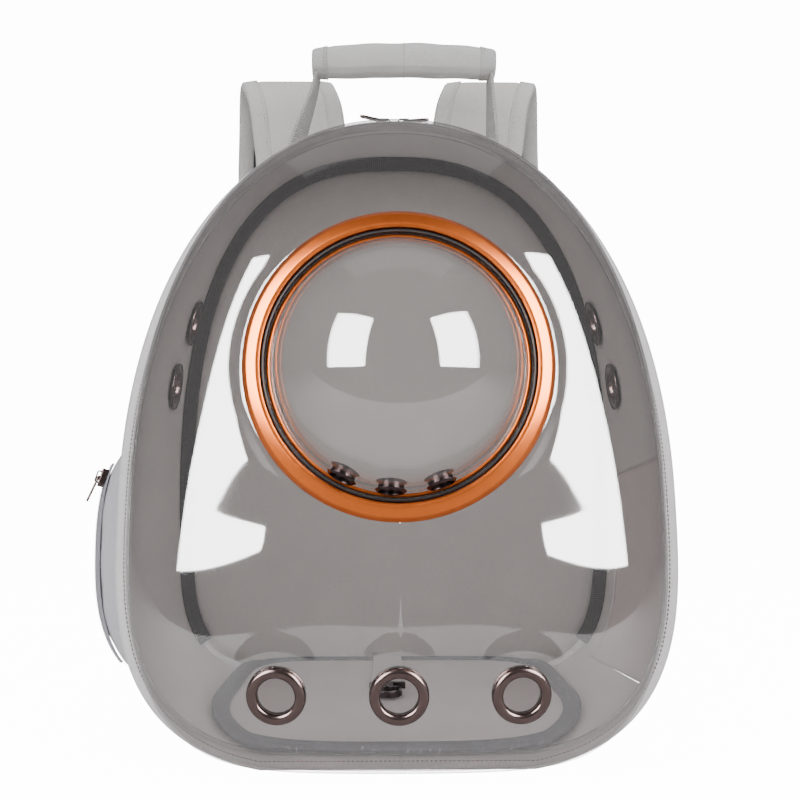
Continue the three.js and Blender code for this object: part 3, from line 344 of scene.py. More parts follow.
# One socket of a node tree, with sums and products written as plain formulas.
class Value:
    def __init__(self, graph, socket):
        self.graph, self.socket = graph, socket

    def op(self, kind, *others):
        return self.graph.node("ShaderNodeMath", self, *others, operation=kind)

    def __add__(self, other):
        return self.op("ADD", other)

    def __sub__(self, other):
        return self.op("SUBTRACT", other)

    def __mul__(self, other):
        return self.op("MULTIPLY", other)

    def __pow__(self, other):
        return self.op("POWER", other)

    def sine(self):
        return self.op("SINE")

    def clamped(self):
        return self.op("MINIMUM", 1.0).op("MAXIMUM", 0.0)


class Graph:
    def __init__(self, name):
        self.material = bpy.data.materials.new(name)
        self.material.use_nodes = True
        self.tree = self.material.node_tree
        self.tree.nodes.clear()
        self.end = self.tree.nodes.new("ShaderNodeOutputMaterial")

    # The one place where nodes are made: values fill the inputs in order, named values the settings.
    def node(self, kind, *values, out=0, inputs=None, **settings):
        made = self.tree.nodes.new(kind)
        for key, value in settings.items():
            setattr(made, key, value)
        pairs = list(enumerate(values)) + list((inputs or {}).items())
        for key, value in pairs:
            if isinstance(value, Value):
                self.tree.links.new(value.socket, made.inputs[key])
            elif value is not None:
                made.inputs[key].default_value = value
        return Value(self, made.outputs[out])

    def mix(self, factor, a, b):
        return self.node("ShaderNodeMix", inputs={0: factor, 6: a, 7: b}, out=2, data_type="RGBA")

    def weave(self):
        parts = self.node("ShaderNodeSeparateXYZ", self.node("ShaderNodeUVMap", uv_map="weave"))
        return [Value(self, socket) for socket in parts.socket.node.outputs]

    def noise(self, scale, detail=2.0, where=None):
        where = where or self.node("ShaderNodeTexCoord", out=3)
        return self.node("ShaderNodeTexNoise", inputs={"Vector": where, "Scale": scale, "Detail": detail})

    def vector(self, x, y, z=0.0):
        return self.node("ShaderNodeCombineXYZ", x, y, z)

    def bump(self, height, depth):
        return self.node("ShaderNodeBump", inputs={"Height": height, "Distance": depth, "Strength": 1.0})

    def principled(self, **inputs):
        named = {key.replace("_", " "): value for key, value in inputs.items()}
        return self.node("ShaderNodeBsdfPrincipled", inputs=named)

    def finish(self, shader):
        self.tree.links.new(shader.socket, self.end.inputs["Surface"])
        return self.material


# Display colour in 0 to 255 as a linear colour.
def linear(r, g, b):
    return (*[((v / 255 + 0.055) / 1.055) ** 2.4 if v > 10 else v / 255 / 12.92 for v in (r, g, b)], 1.0)


def scaled(colour, share):
    return (*[v * share for v in colour[:3]], 1.0)


# Twill cloth: slanting ribs at a pitch, broken by the crossing yarn, with heather in two sizes.
def twill(name, colour, pitch=0.0013, contrast=0.2, heather=0.16, rise=0.00016, rough=0.9, slant=1.0):
    g = Graph(name)
    u, v, _ = g.weave()
    rib = ((u + v * slant) * (tau / pitch)).sine() * 0.5 + 0.5
    cross = ((u - v * slant) * (tau / pitch * 0.5)).sine() * 0.5 + 0.5
    weave = rib * 0.7 + rib * cross * 0.3
    where = g.vector(u * 0.35, v, 0.0)
    yarn = g.noise(900.0, 2.0, where)
    cloud = g.noise(38.0, 3.0)
    tone = (weave - 0.5) * contrast + (yarn - 0.5) * heather * 2 + (cloud - 0.5) * heather * 0.7
    base = g.mix((tone + 0.5).clamped(), scaled(colour, 0.55), scaled(colour, 1.45))
    height = weave + yarn * 0.4
    return g.finish(g.principled(
        Base_Color=base, Roughness=rough, Normal=g.bump(height, rise), Sheen_Weight=0.25, Sheen_Roughness=0.5,
        Specular_IOR_Level=0.2))


# Webbing: ribs across its length with a flat edge.
def webbing(name, colour, pitch=0.0016, rise=0.0003):
    g = Graph(name)
    u, v, _ = g.weave()
    rib = (u * (tau / pitch)).sine() * 0.5 + 0.5
    filling = (v * (tau / (pitch * 0.8))).sine() * 0.5 + 0.5
    yarn = g.noise(700.0, 2.0, g.vector(u, v * 0.4))
    tone = rib * 0.5 + filling * 0.2 + (yarn - 0.5) * 0.5
    base = g.mix(tone.clamped(), scaled(colour, 0.6), scaled(colour, 1.18))
    return g.finish(g.principled(Base_Color=base, Roughness=0.85, Normal=g.bump(rib + filling * 0.4, rise),
                                 Sheen_Weight=0.2, Specular_IOR_Level=0.25))


# Short-pile suede: fine grain with soft clouds where the pile lies another way.
def suede(name, colour, grain=0.18):
    g = Graph(name)
    pile = g.noise(1500.0, 2.0)
    lay = g.noise(26.0, 3.0)
    tone = (pile - 0.5) * grain * 2 + (lay - 0.5) * 0.35 + 0.5
    base = g.mix(tone.clamped(), scaled(colour, 0.6), scaled(colour, 1.4))
    return g.finish(g.principled(Base_Color=base, Roughness=0.95, Normal=g.bump(pile, 0.0002),
                                 Sheen_Weight=0.4, Sheen_Roughness=0.4, Specular_IOR_Level=0.15))


# Dark cloth with light specks.
def speckled(name, colour, speck, density=0.66):
    g = Graph(name)
    spot = g.noise(620.0, 1.0)
    dots = ((spot - density) * 12.0).clamped()
    cloud = g.noise(60.0, 2.0)
    base = g.mix(dots, g.mix(cloud, scaled(colour, 0.8), scaled(colour, 1.3)), speck)
    return g.finish(g.principled(Base_Color=base, Roughness=0.85, Normal=g.bump(spot, 0.0002),
                                 Specular_IOR_Level=0.3))


# Clear sheet: a view through that darkens towards the edge, a little haze, and a gloss that grows there.
def clearSheet(name, tint, edgeTint, haze, hazeColour, gloss, rough=0.03):
    g = Graph(name)
    facing = g.node("ShaderNodeLayerWeight", inputs={"Blend": 0.5}, out=1)
    plainView = g.node("ShaderNodeBsdfTransparent", tint)
    darkView = g.node("ShaderNodeBsdfTransparent", edgeTint)
    through = g.node("ShaderNodeMixShader", facing ** 2.8, plainView, darkView)
    milk = g.node("ShaderNodeBsdfDiffuse", hazeColour)
    shine = g.node("ShaderNodeBsdfGlossy", inputs={"Color": (1, 1, 1, 1), "Roughness": rough})
    sheet = g.node("ShaderNodeMixShader", haze, through, milk)
    amount = (facing ** 5.0) * 0.6 + gloss
    return g.finish(g.node("ShaderNodeMixShader", amount.op("MINIMUM", 1.0), sheet, shine))


def metal(name, colour, rough, grain=0.05):
    g = Graph(name)
    wear = g.noise(240.0, 3.0)
    roughness = (wear - 0.5) * grain + rough
    base = g.mix(wear, scaled(colour, 0.92), scaled(colour, 1.06))
    return g.finish(g.principled(Base_Color=base, Roughness=roughness, Metallic=1.0))


def plain(name, colour, rough):
    g = Graph(name)
    wear = g.noise(300.0, 2.0)
    return g.finish(g.principled(Base_Color=g.mix(wear, scaled(colour, 0.85), scaled(colour, 1.1)),
                                 Roughness=(wear - 0.5) * 0.1 + rough, Specular_IOR_Level=0.4))


finishes = {
    "gusset": twill("gusset cloth", linear(200, 196, 193)),
    "backCloth": twill("back cloth", linear(200, 196, 193), pitch=0.0011, contrast=0.3),
    "binding": twill("binding cloth", linear(226, 223, 223), pitch=0.0012, contrast=0.3, slant=-1.0),
    "strapCloth": twill("strap cloth", linear(210, 206, 203), contrast=0.3),
    "gripCloth": twill("grip cloth", linear(204, 203, 201), contrast=0.28),
    "pocketCloth": twill("pocket cloth", linear(208, 206, 213)),
    "zipTape": webbing("zip tape", linear(186, 185, 194), pitch=0.0011),
    "webbing": webbing("webbing", linear(196, 194, 192), pitch=0.0019),
    "darkTape": webbing("dark tape", linear(30, 30, 33)),
    "suede": suede("mat suede", linear(176, 168, 168)),
    "matEdge": speckled("mat edge", linear(56, 58, 66), linear(150, 152, 160)),
    "clear": clearSheet("clear front", (0.955, 0.944, 0.943, 1), (0.56, 0.54, 0.55, 1), 0.02,
                        linear(150, 142, 144), 0.09),
    "bubble": clearSheet("clear bubble", (0.985, 0.98, 0.978, 1), (0.72, 0.7, 0.7, 1), 0.07,
                         linear(190, 187, 184), 0.08),
    "copper": metal("copper satin", linear(206, 104, 46), rough=0.3),
    "rubber": plain("black rubber", linear(14, 13, 13), 0.5),
    "gunmetal": metal("dark metal", linear(92, 78, 76), rough=0.2),
    "ventMetal": metal("dark vent metal", linear(60, 50, 50), rough=0.22),
    "plastic": plain("black plastic", linear(32, 32, 34), 0.4),
    "meshCloth": twill("mesh cloth", linear(204, 192, 189)),
    "thread": plain("thread", linear(170, 168, 166), 0.8),
    "darkMesh": twill("black pad mesh", linear(26, 26, 28), pitch=0.0022, contrast=0.5),
    "herring": twill("herringbone edging", linear(214, 212, 210), pitch=0.0017, contrast=0.55, rise=0.0003),
    "gripWrap": twill("grip wrap", linear(196, 195, 194), pitch=0.0012),
    "darkSteel": metal("dark hook metal", linear(70, 64, 66), rough=0.28),
    "coil": plain("zip coil", linear(70, 70, 76), 0.4),
    "darkCoil": plain("pocket zip coil", linear(120, 118, 128), 0.4),
    # Dark thread, its black partly painted shade of the gap between binding and shell.
    "darkThreadGapShade": plain("dark thread and painted gap shade", linear(22, 21, 22), 0.8),
}
print("materials made")


# Clear front: rows run from the window's hole over its land to the rim, closer together near the rim.
def roundAngles(number):
    return (np.arange(number) + 0.5) / number * tau - math.pi / 2


# Points of the clear front: rings at the hole and the land, then steps out to the edge.
def shellGrid(columns, rows):
    angle = roundAngles(columns)
    radius = 1 / shellReach(np.cos(angle), np.sin(angle))
    edgeX, edgeZ = radius * np.cos(angle), rim["widest"] + radius * np.sin(angle)
    dx, dz = edgeX, edgeZ - window["height"]
    tilt = windowSeat["normal"][2] / -windowSeat["normal"][1]

    def ring(size):
        flat = size / np.hypot(dx, dz)
        shorten = 1 / np.sqrt(1 + (tilt * dz * flat / size) ** 2)
        return dx * flat * shorten, window["height"] + dz * flat * shorten

    hole, land = ring(window["hole"] + 0.0008), ring(window["land"])
    near = np.linspace(0, 1, 6)[:-1, None]
    far = 1 - (1 - np.linspace(0, 1, rows)[:, None]) ** 2.3
    x = np.concatenate([mix(hole[0], land[0], near), mix(land[0], edgeX, far)])
    z = np.concatenate([mix(hole[1], land[1], near), mix(land[1], edgeZ, far)])
    return shellPoint(x, z)


# Unit normals: cross product of the steps around and across the grid.
def gridNormals(grid):
    around = np.roll(grid, -1, 1) - np.roll(grid, 1, 1)
    normal = np.cross(around, np.gradient(grid, axis=0))
    return normal / np.maximum(np.linalg.norm(normal, axis=-1, keepdims=True), 1e-12)


def addShell():
    outer = shellGrid(count(360), count(76))
    normals = gridNormals(outer)
    facing = np.sign(normals[0, 0] @ windowSeat["normal"])
    inner = outer - normals * facing * shell["wall"]
    inner[..., 2] = np.maximum(inner[..., 2], shell["wall"])
    closed = closedGrid(outer)
    middle = (closed[:-1, :-1] + closed[1:, :-1] + closed[:-1, 1:] + closed[1:, 1:]) / 4
    keep = np.ones(middle.shape[:2], bool)
    for seat in eyeletSeats:
        keep &= np.linalg.norm(middle - seat["centre"], axis=-1) > eyelet["hole"] + eyelet["cut"]
    mesh = wallMesh("clearFront", outer, inner, closed=True, keep=keep)
    weld(mesh)
    addObject(mesh, "clear", ["front_shell"])


addShell()
print("clear front made")


# Soft body: side walls, base, mesh panel, inner seam tape
wall = {"front": 0.0176, "behind": -0.0053, "cloth": 0.003, "base": 0.004, "slit": 0.001, "step": 0.0125}
cornerShare = rim["widest"] / (rim["widest"] + rim["cut"])
cornerX = rim["width"] / 2 * (1 - cornerShare ** rim["lower"]) ** (1 / rim["lower"])
cornerAngle = math.atan2(-rim["widest"], cornerX)
panel = {"low": math.radians(-36), "high": math.radians(10), "front": 0.1, "back": 0.8, "bulge": 0.004}
sideEyelets = {"upper": (0.284, 0.072), "lower": (0.235, 0.048)}


# Shares of the depth at which the wall starts behind the zip and ends before the back binding.
def wallShares(angle):
    depth = body["backY"] - rimY(outline(rim, angle)[1])
    return wall["front"] / depth, 1 + wall["behind"] / depth


def pieces(*stops, step):
    parts = [np.linspace(a, b, max(int(abs(b - a) / step * fine), 2) + 1)[:-1]
             for a, b in zip(stops, stops[1:])]
    return np.concatenate([*parts, [stops[-1]]])


# Skin grid between angles; rows go from the zip to the back binding, with lines on the given shares.
def wallGrid(angles, inset, stops=(), rows=26):
    start, end = wallShares(angles)
    edges = [start, *[np.full_like(start, s) for s in stops], end]
    spans = [mix(a, b, t) for a, b in zip(edges, edges[1:])
             for t in np.linspace(0, 1, count(rows / (len(edges) - 1)) + 1)[:-1]]
    shares = np.stack([*spans, edges[-1]])
    return skin(angles[None, :], inset, shares), shares


# Place on the skin at a height and depth on the right side, with its outward normal; side mirrors it.
def skinSeat(height, y, side):
    def at(angle, away=0.0):
        start = rimY(outline(rim, angle)[1])
        return skin(angle, 0.0, (y + away - start) / (body["backY"] - start))

    low, high = math.radians(-50), math.radians(85)
    for _ in range(40):
        middle = (low + high) / 2
        if at(middle)[2] < height:
            low = middle
        else:
            high = middle
    small = 1e-3
    normal = np.cross(at(low + small) - at(low - small), at(low, small) - at(low, -small))
    normal *= np.sign(normal[0])
    mirror = np.array([side, 1, 1])
    return seatAt(at(low) * mirror, normal * mirror, 0, 0)


seats = {f"{'left' if side < 0 else 'right'}_{name}": skinSeat(*place, side)
         for side in (-1, 1) for name, place in sideEyelets.items()}


# Shallow waves in cloth, from sums and products of sines of a point's place over a scale.
def softWaves(grid, amount, scale):
    x, y, z = grid[..., 0] / scale, grid[..., 1] / scale, grid[..., 2] / scale
    wave = np.sin(x * 3.1 + 1.7 * np.sin(z * 2.3)) * np.sin(z * 2.9 + y * 1.9)
    wave = wave + 0.6 * np.sin(y * 5.3 + x * 2.2 + z * 1.4)
    return wave[..., None] * amount


def addBody():
    slit, step = wall["slit"], wall["step"]
    stops = (cornerAngle + slit, panel["low"], panel["high"], math.pi - cornerAngle - slit)
    angles = pieces(*stops, step=step)
    outer, shares = wallGrid(angles, 0.0, (panel["front"], panel["back"]), 60)
    inner, _ = wallGrid(angles, wall["cloth"], (panel["front"], panel["back"]), 60)
    middle = (outer[:-1, :-1] + outer[1:, 1:]) / 2
    angle = (angles[:-1] + angles[1:]) / 2
    share = (shares[:-1, :-1] + shares[1:, 1:]) / 2
    inAngle = (angle > panel["low"]) & (angle < panel["high"])
    keep = ~(inAngle & (share > panel["front"]) & (share < panel["back"]))
    for seat in seats.values():
        keep &= np.linalg.norm(middle - seat["centre"], axis=-1) > eyelet["hole"] + eyelet["clothCut"]
    mesh = wallMesh("gussetCloth", outer, inner, keep=keep)
    addObject(mesh, "gusset", ["side_gusset"])

    angles = pieces(-math.pi - cornerAngle + slit, cornerAngle - slit, step=step)
    outer, inner = wallGrid(angles, 0.0)[0], wallGrid(angles, wall["base"])[0]
    addObject(wallMesh("baseCloth", outer, inner), "gusset", ["base_panel"])

    margin = 0.002
    u, v = np.linspace(-1, 1, count(60)), np.linspace(-1, 1, count(44))
    angle = mix(panel["low"] + margin, panel["high"] - margin, (u + 1) / 2)[None, :]
    share = mix(panel["front"] + margin, panel["back"] - margin, (v + 1) / 2)[:, None]
    swell = panel["bulge"] * (1 - u[None, :] ** 2) * (1 - v[:, None] ** 2)
    outer, inner = skin(angle, 0.0009 - swell, share), skin(angle, 0.0021 - swell, share)
    addObject(wallMesh("meshPanel", outer, inner), "meshCloth", ["side_mesh"])


# Section of a binding as (inset, shift) pairs run round it; only its front pair of corners is round.
def roundedSection(thick, front, behind, radius, steps=4):
    corners = [((radius, front + radius), math.pi, 1.5 * math.pi),
               ((thick - radius, front + radius), 1.5 * math.pi, tau)]
    arcs = [(c[0] + radius * math.cos(a), c[1] + radius * math.sin(a))
            for c, low, high in corners for a in np.linspace(low, high, steps + 1)]
    return [*arcs, (thick, behind), (0.0, behind)]


binding = {"thick": 0.007, "width": 0.01, "round": 0.0028}
tape = {"inset": 0.001, "thick": 0.002, "start": 0.0053, "width": 0.012, "endHeight": 0.017, "pitch": 0.0016}
seamTape = {"near": 0.0036, "thick": 0.0014, "width": 0.01, "lap": 0.009, "low": 0.026}


# Angle at which the rim's outline has a height, on the right side.
def angleAt(height):
    angles = np.linspace(math.radians(-80), math.radians(89), 4000)
    return float(np.interp(height, outline(rim, angles)[1], angles))


def addRim():
    around = roundAngles(count(360))
    half = binding["width"] / 2
    section = roundedSection(binding["thick"], -half, half, binding["round"])
    mesh = bandMesh("shellBinding", section, around, 0.0, closed=True)
    addObject(mesh, "binding", ["shell_binding"])
    mesh = bandMesh("backBinding", [(i, -s) for i, s in section], around, 1.0, closed=True)
    addObject(mesh, "binding", ["back_binding"])
    start, width = tape["start"], tape["width"]
    low = tape["inset"] + tape["thick"]
    end = angleAt(tape["endHeight"])
    section = [(tape["inset"], start), (tape["inset"], start + width), (low, start + width), (low, start)]
    angles = np.linspace(end + 0.001, math.pi - end - 0.001, count(340))
    addObject(bandMesh("zipTape", section, angles, 0.0), "zipTape", ["zip_tape"])
    angles = np.linspace(-math.pi - end + 0.001, end - 0.001, count(80))
    addObject(bandMesh("hingeCloth", section, angles, 0.0), "gusset", ["hinge_cloth"])
    near, far = seamTape["near"], seamTape["near"] + seamTape["thick"]
    behind = -half - body["gap"]
    lap, thick = near + seamTape["lap"], seamTape["thick"]
    section = [(near, behind - seamTape["width"]), (near, behind), (lap, behind), (lap, behind - thick),
               (far, behind - thick), (far, behind - seamTape["width"])]
    angles = around[outline(back, around)[1] > seamTape["low"]]
    addObject(bandMesh("seamTape", section, angles, 1.0), "darkTape", ["seam_tape"])


addBody()
addRim()
print("soft body made")


# Back panel: closed padded plate, rings shrinking from its edge to the middle.
backPanel = {"thick": 0.008, "inset": 0.0073}


def addBack():
    angle = roundAngles(count(240))
    x, z, _, _ = outline(back, angle, backPanel["inset"])
    centre = np.array([0.0, 0.2])
    t = np.linspace(0, 1, count(50))[:, None] ** 0.8
    ringX, ringZ = mix(x, centre[0], t), mix(z, centre[1], t)
    edge = np.minimum(t / 0.05, 1)
    level = backPanel["thick"] / 2 * np.sqrt(np.maximum(1 - (1 - edge) ** 2, 0.05))
    level = level + 0 * ringX
    front = np.stack([ringX, body["backY"] - level, ringZ], -1)
    behind = np.stack([ringX, body["backY"] + level, ringZ], -1)
    grid = closedGrid(np.concatenate([front[::-1], behind], 0))
    mesh = gridMesh("backPanel", grid, uv=grid[..., ::2])
    addObject(mesh, "backCloth", ["back_panel"])


# Floor mat: plan with round front corners and squarer back ones, dark bound edge round a suede top that
# slopes gently down to the front.
mat = {"bottom": 0.0076, "low": 0.0125, "high": 0.021, "round": 0.0026, "margin": 0.0052, "front": -0.1125,
       "back": 0.1092, "frontPower": 2 / 3.2, "backPower": 2 / 7, "bound": 0.011, "frontWidth": 0.129,
       "backWidth": 0.116}


# Height of the mat's top, a straight line from front to back.
def matTop(y):
    return mix(mat["low"], mat["high"], (y - mat["front"]) / (mat["back"] - mat["front"]))


# Rise of the cloth's rounded lower corners under the mat, above the mat's own underside; zero in the middle.
def cornerRise(x, y):
    def cornerAt(shape):
        half = shape["width"] / 2 - mat["margin"]
        depth = shape["widest"] + shape["cut"] - mat["margin"]
        side = np.minimum(np.abs(x) / half, 0.999) ** shape["lower"]
        return shape["widest"] - depth * (1 - side) ** (1 / shape["lower"])
    share = np.maximum((y + body["backY"]) / (2 * body["backY"]), 0)
    return np.maximum(mix(cornerAt(rim), cornerAt(back), share) - mat["bottom"], 0)


# Ring of the mat's plan, drawn in by trim; level runs from its underside to its top, lift adds metres.
def matRing(angle, level, trim, lift=0.0):
    c, s = np.cos(angle), np.sin(angle)
    power = np.where(s < 0, mat["frontPower"], mat["backPower"])
    middle, half = (mat["front"] + mat["back"]) / 2, (mat["back"] - mat["front"]) / 2
    y = middle + np.sign(s) * np.abs(s) ** power * (half - trim)
    share = np.maximum((y + body["backY"]) / (2 * body["backY"]), 0)
    width = mix(mat["frontWidth"], mat["backWidth"], share)
    x = np.sign(c) * np.abs(c) ** power * (width - trim)
    z = mix(mat["bottom"], matTop(y), level) + lift + cornerRise(x, y)
    return np.stack([x, y, z], -1)


def addMat():
    angle = roundAngles(count(280))
    curve, bound = mat["round"], mat["bound"]
    turns = np.linspace(0, math.pi / 2, 5)
    levels = [(0.0, bound, 0.0), (0.0, curve, 0.0)]
    levels += [(0.0, curve - curve * math.sin(a), curve - curve * math.cos(a)) for a in turns[1:]]
    levels += [(1.0, curve - curve * math.cos(a), curve * math.sin(a) - curve) for a in turns]
    levels += [(1.0, bound, 0.0002), (1.0, bound + 0.0004, -0.001)]
    mesh = gridMesh("matEdge", closedGrid(np.stack([matRing(angle, *row) for row in levels])))
    addObject(mesh, "matEdge", ["floor_mat"])

    t = np.linspace(0, 1, count(60))[:, None]
    edge = matRing(angle, 1.0, bound - 0.0002, -0.0002)
    centre = np.array([0.0, 0.01, matTop(0.01)])
    grid = mix(edge[None], centre[None, None], (t ** 0.9)[..., None])
    grid[..., 2] = matTop(grid[..., 1]) + cornerRise(grid[..., 0], grid[..., 1])
    grid[..., 2] += 0.0008 * smooth(t / 0.06) - 0.001
    grid[..., 2] += softWaves(grid, 0.0004, 0.05)[..., 0] * smooth(t / 0.1)
    under = matRing(angle, 0.3, bound)
    mesh = gridMesh("matTop", closedGrid(np.concatenate([under[None], grid])))
    addObject(mesh, "suede", ["floor_mat"])


addBack()
addMat()
print("back and mat made")


# Window: copper ring, gasket, thin inner ring, bubble with three vents, lock ring
windowPlace = seatMatrix(windowSeat)
domeBase = window["hole"] - body["gap"]
domeRadius = (domeBase ** 2 + window["domeRise"] ** 2) / (2 * window["domeRise"])
vent = {"polar": math.radians(78.5), "spread": math.radians(22.8), "shift": math.radians(-3.8),
        "outer": 0.0092, "hole": 0.0064, "barrel": 0.0074, "lip": 0.0016, "slack": 0.002, "near": 0.02,
        "cut": 0.0004}


# Seats of the three vents: a polar angle down the ball, spread either side of its lowest line.
def ventSeats():
    found = []
    for side in (-1, 0, 1):
        around = side * vent["spread"] + vent["shift"] - math.pi / 2
        polar = vent["polar"]
        flat = math.sin(polar)
        normal = np.array([flat * math.cos(around), flat * math.sin(around), math.cos(polar)])
        centre = normal * domeRadius + np.array([0, 0, window["domeRise"] - domeRadius])
        turned = np.array(windowPlace.to_3x3()) @ normal
        found.append(seatAt(np.array(windowPlace @ Vector(centre)), turned, 0, 0))
    return found


def addWindow():
    gap, wallThick = body["gap"], window["domeWall"]
    inner, outer, rise = window["inner"], window["outer"], window["rise"]
    sides = count(192)
    bezelOut = inner - window["bezelGap"]
    ring = rounded([(inner, gap), (outer, gap), (outer, gap + rise * 0.3),
                    (outer - rise * 0.3, gap + rise * 0.72), (inner + 0.0024, gap + rise),
                    (inner, gap + rise * 0.93)], 0.0007)
    addObject(turnedMesh("copperRing", ring, sides, windowPlace), "copper", ["window_ring"])
    seat = gap * 2 + wallThick
    gasketIn, gasketOut = bezelOut + window["lap"], inner - gap
    gasket = rounded([(gasketIn, seat), (gasketOut, seat), (gasketOut, seat + window["gasketOuter"]),
                      (gasketIn, seat + window["gasketInner"])], 0.0008)
    addObject(turnedMesh("gasket", gasket, sides, windowPlace), "rubber", ["window_gasket"])
    high = window["bezelRise"]
    bezel = rounded([(domeBase + gap, seat), (bezelOut, seat), (bezelOut, seat + high * 0.7),
                     (mix(domeBase, bezelOut, 0.6), seat + high),
                     (domeBase + gap * 2, seat + high * 0.8)], 0.0005)
    addObject(turnedMesh("bezel", bezel, sides, windowPlace), "copper", ["dome_bezel"], "dome")
    lock = rounded([(lockRing[side], lockRing[end]) for side, end in
                    (("inner", "bottom"), ("outer", "bottom"), ("outer", "top"), ("inner", "top"))], 0.0006)
    addObject(turnedMesh("lockRing", lock, sides, windowPlace), "copper", ["window_lock_ring"])

    centre = window["domeRise"] - domeRadius
    end = math.asin(domeBase / domeRadius)
    if domeRadius < window["domeRise"]:  # deeper than half a ball
        end = math.pi - end
    arc = np.linspace(end, 0.004, count(110))
    outerArc = np.stack([domeRadius * np.sin(arc), centre + domeRadius * np.cos(arc)], -1)
    within = domeRadius - wallThick
    innerArc = np.stack([within * np.sin(arc), centre + within * np.cos(arc)], -1)
    flange = inner - window["lap"]
    profile = np.concatenate([
        innerArc[::-1],
        [(domeBase - wallThick, -window["domeLip"]), (domeBase, -window["domeLip"]), (domeBase, gap),
         (flange, gap), (flange, gap + wallThick), (domeBase, gap + wallThick)],
        outerArc[1:]])
    a = np.linspace(0, tau, count(360) + 1)
    grid = np.stack([profile[:, :1] * np.cos(a), profile[:, :1] * np.sin(a), profile[:, 1:] + 0 * a], -1)
    place = np.array(windowPlace)
    grid = grid @ place[:3, :3].T + place[:3, 3]
    middle = (grid[:-1, :-1] + grid[1:, 1:]) / 2
    keep = np.ones(middle.shape[:2], bool)
    for hole in ventSeats():
        away = middle - hole["centre"]
        off = away - (away @ hole["normal"])[..., None] * hole["normal"]
        near = np.linalg.norm(away, axis=-1) < vent["near"]
        keep &= ~(near & (np.linalg.norm(off, axis=-1) < vent["barrel"] + vent["cut"]))
    faces = gridFaces(*grid.shape[:2])[keep.ravel()]
    mesh = buildMesh("bubble", grid, faces, weaveOf(grid))
    weld(mesh)
    addObject(mesh, "bubble", ["bubble_dome"], "dome")

    bottom = -wallThick - vent["slack"]
    profile = rounded([(vent["hole"], bottom - vent["lip"]), (vent["outer"], bottom - vent["lip"] * 0.4),
                       (vent["barrel"], bottom), (vent["barrel"], gap), (vent["outer"], gap),
                       (vent["hole"] + 0.0009, gap + vent["lip"]),
                       (vent["hole"], gap + vent["lip"] * 0.8)], 0.0005)
    for i, hole in enumerate(ventSeats()):
        mesh = turnedMesh(f"vent{i + 1}", profile, count(56), seatMatrix(hole))
        addObject(mesh, "ventMetal", [f"dome_vent_{i + 1}"], "dome")


# Eyelet clamped on a wall: a domed outer flange, a barrel and a flat inner flange.
def eyeletProfile(wallThick):
    hole, outer, barrel, gap = eyelet["hole"], eyelet["outer"], eyelet["hole"] + eyelet["barrel"], body["gap"]
    bottom = -wallThick - gap
    low = bottom - eyelet["inner"]
    dome = [(mix(hole, outer, t), gap + eyelet["rise"] * h) for t, h in
            ((0.94, 0.42), (0.8, 0.78), (0.62, 0.98), (0.4, 1.0), (0.2, 0.86), (0.06, 0.62), (0.0, 0.3))]
    return [(hole, low), (outer, low), (outer, bottom), (barrel, bottom), (barrel, gap), (outer, gap), *dome]


def addEyelets():
    for i, seat in enumerate(eyeletSeats):
        mesh = turnedMesh(f"shellEyelet{i + 1}", eyeletProfile(shell["wall"]), count(96), seatMatrix(seat))
        addObject(mesh, "gunmetal", [f"shell_eyelet_{i + 1}"])
    for name, seat in seats.items():
        profile = eyeletProfile(eyelet["clothWall"])
        mesh = turnedMesh(f"sideEyelet_{name}", profile, count(72), seatMatrix(seat))
        addObject(mesh, "gunmetal", [f"side_eyelet_{name}"])


addWindow()
addEyelets()
print("window and eyelets made")


# Soft strips that follow a path: straps, webbing, grip and their stitches

# Smooth path through stations, at even steps of its parameter (Catmull-Rom).
def smoothPath(stations, number):
    p = np.asarray(stations, float)
    p = np.concatenate([[2 * p[0] - p[1]], p, [2 * p[-1] - p[-2]]])
    t = np.linspace(0, len(p) - 3, number)
    i = np.minimum(t.astype(int), len(p) - 4)
    f = (t - i)[:, None]
    a, b, c, d = p[i], p[i + 1], p[i + 2], p[i + 3]
    square, cube = 2 * a - 5 * b + 4 * c - d, 3 * b - a - 3 * c + d
    return 0.5 * (2 * b + (c - a) * f + square * f ** 2 + cube * f ** 3)


# Closed strip: a section of (across, through) pairs carried along centres that have both directions.
def stripMesh(name, centres, across, through, section):
    section = np.asarray(section, float)
    if section.ndim == 2:
        section = np.broadcast_to(section, (len(centres), *section.shape))
    section = closedGrid(section)
    grid = centres[:, None] + section[..., :1] * across[:, None] + section[..., 1:] * through[:, None]
    return gridMesh(name, grid, True, weaveOf(grid)[..., ::-1], True)


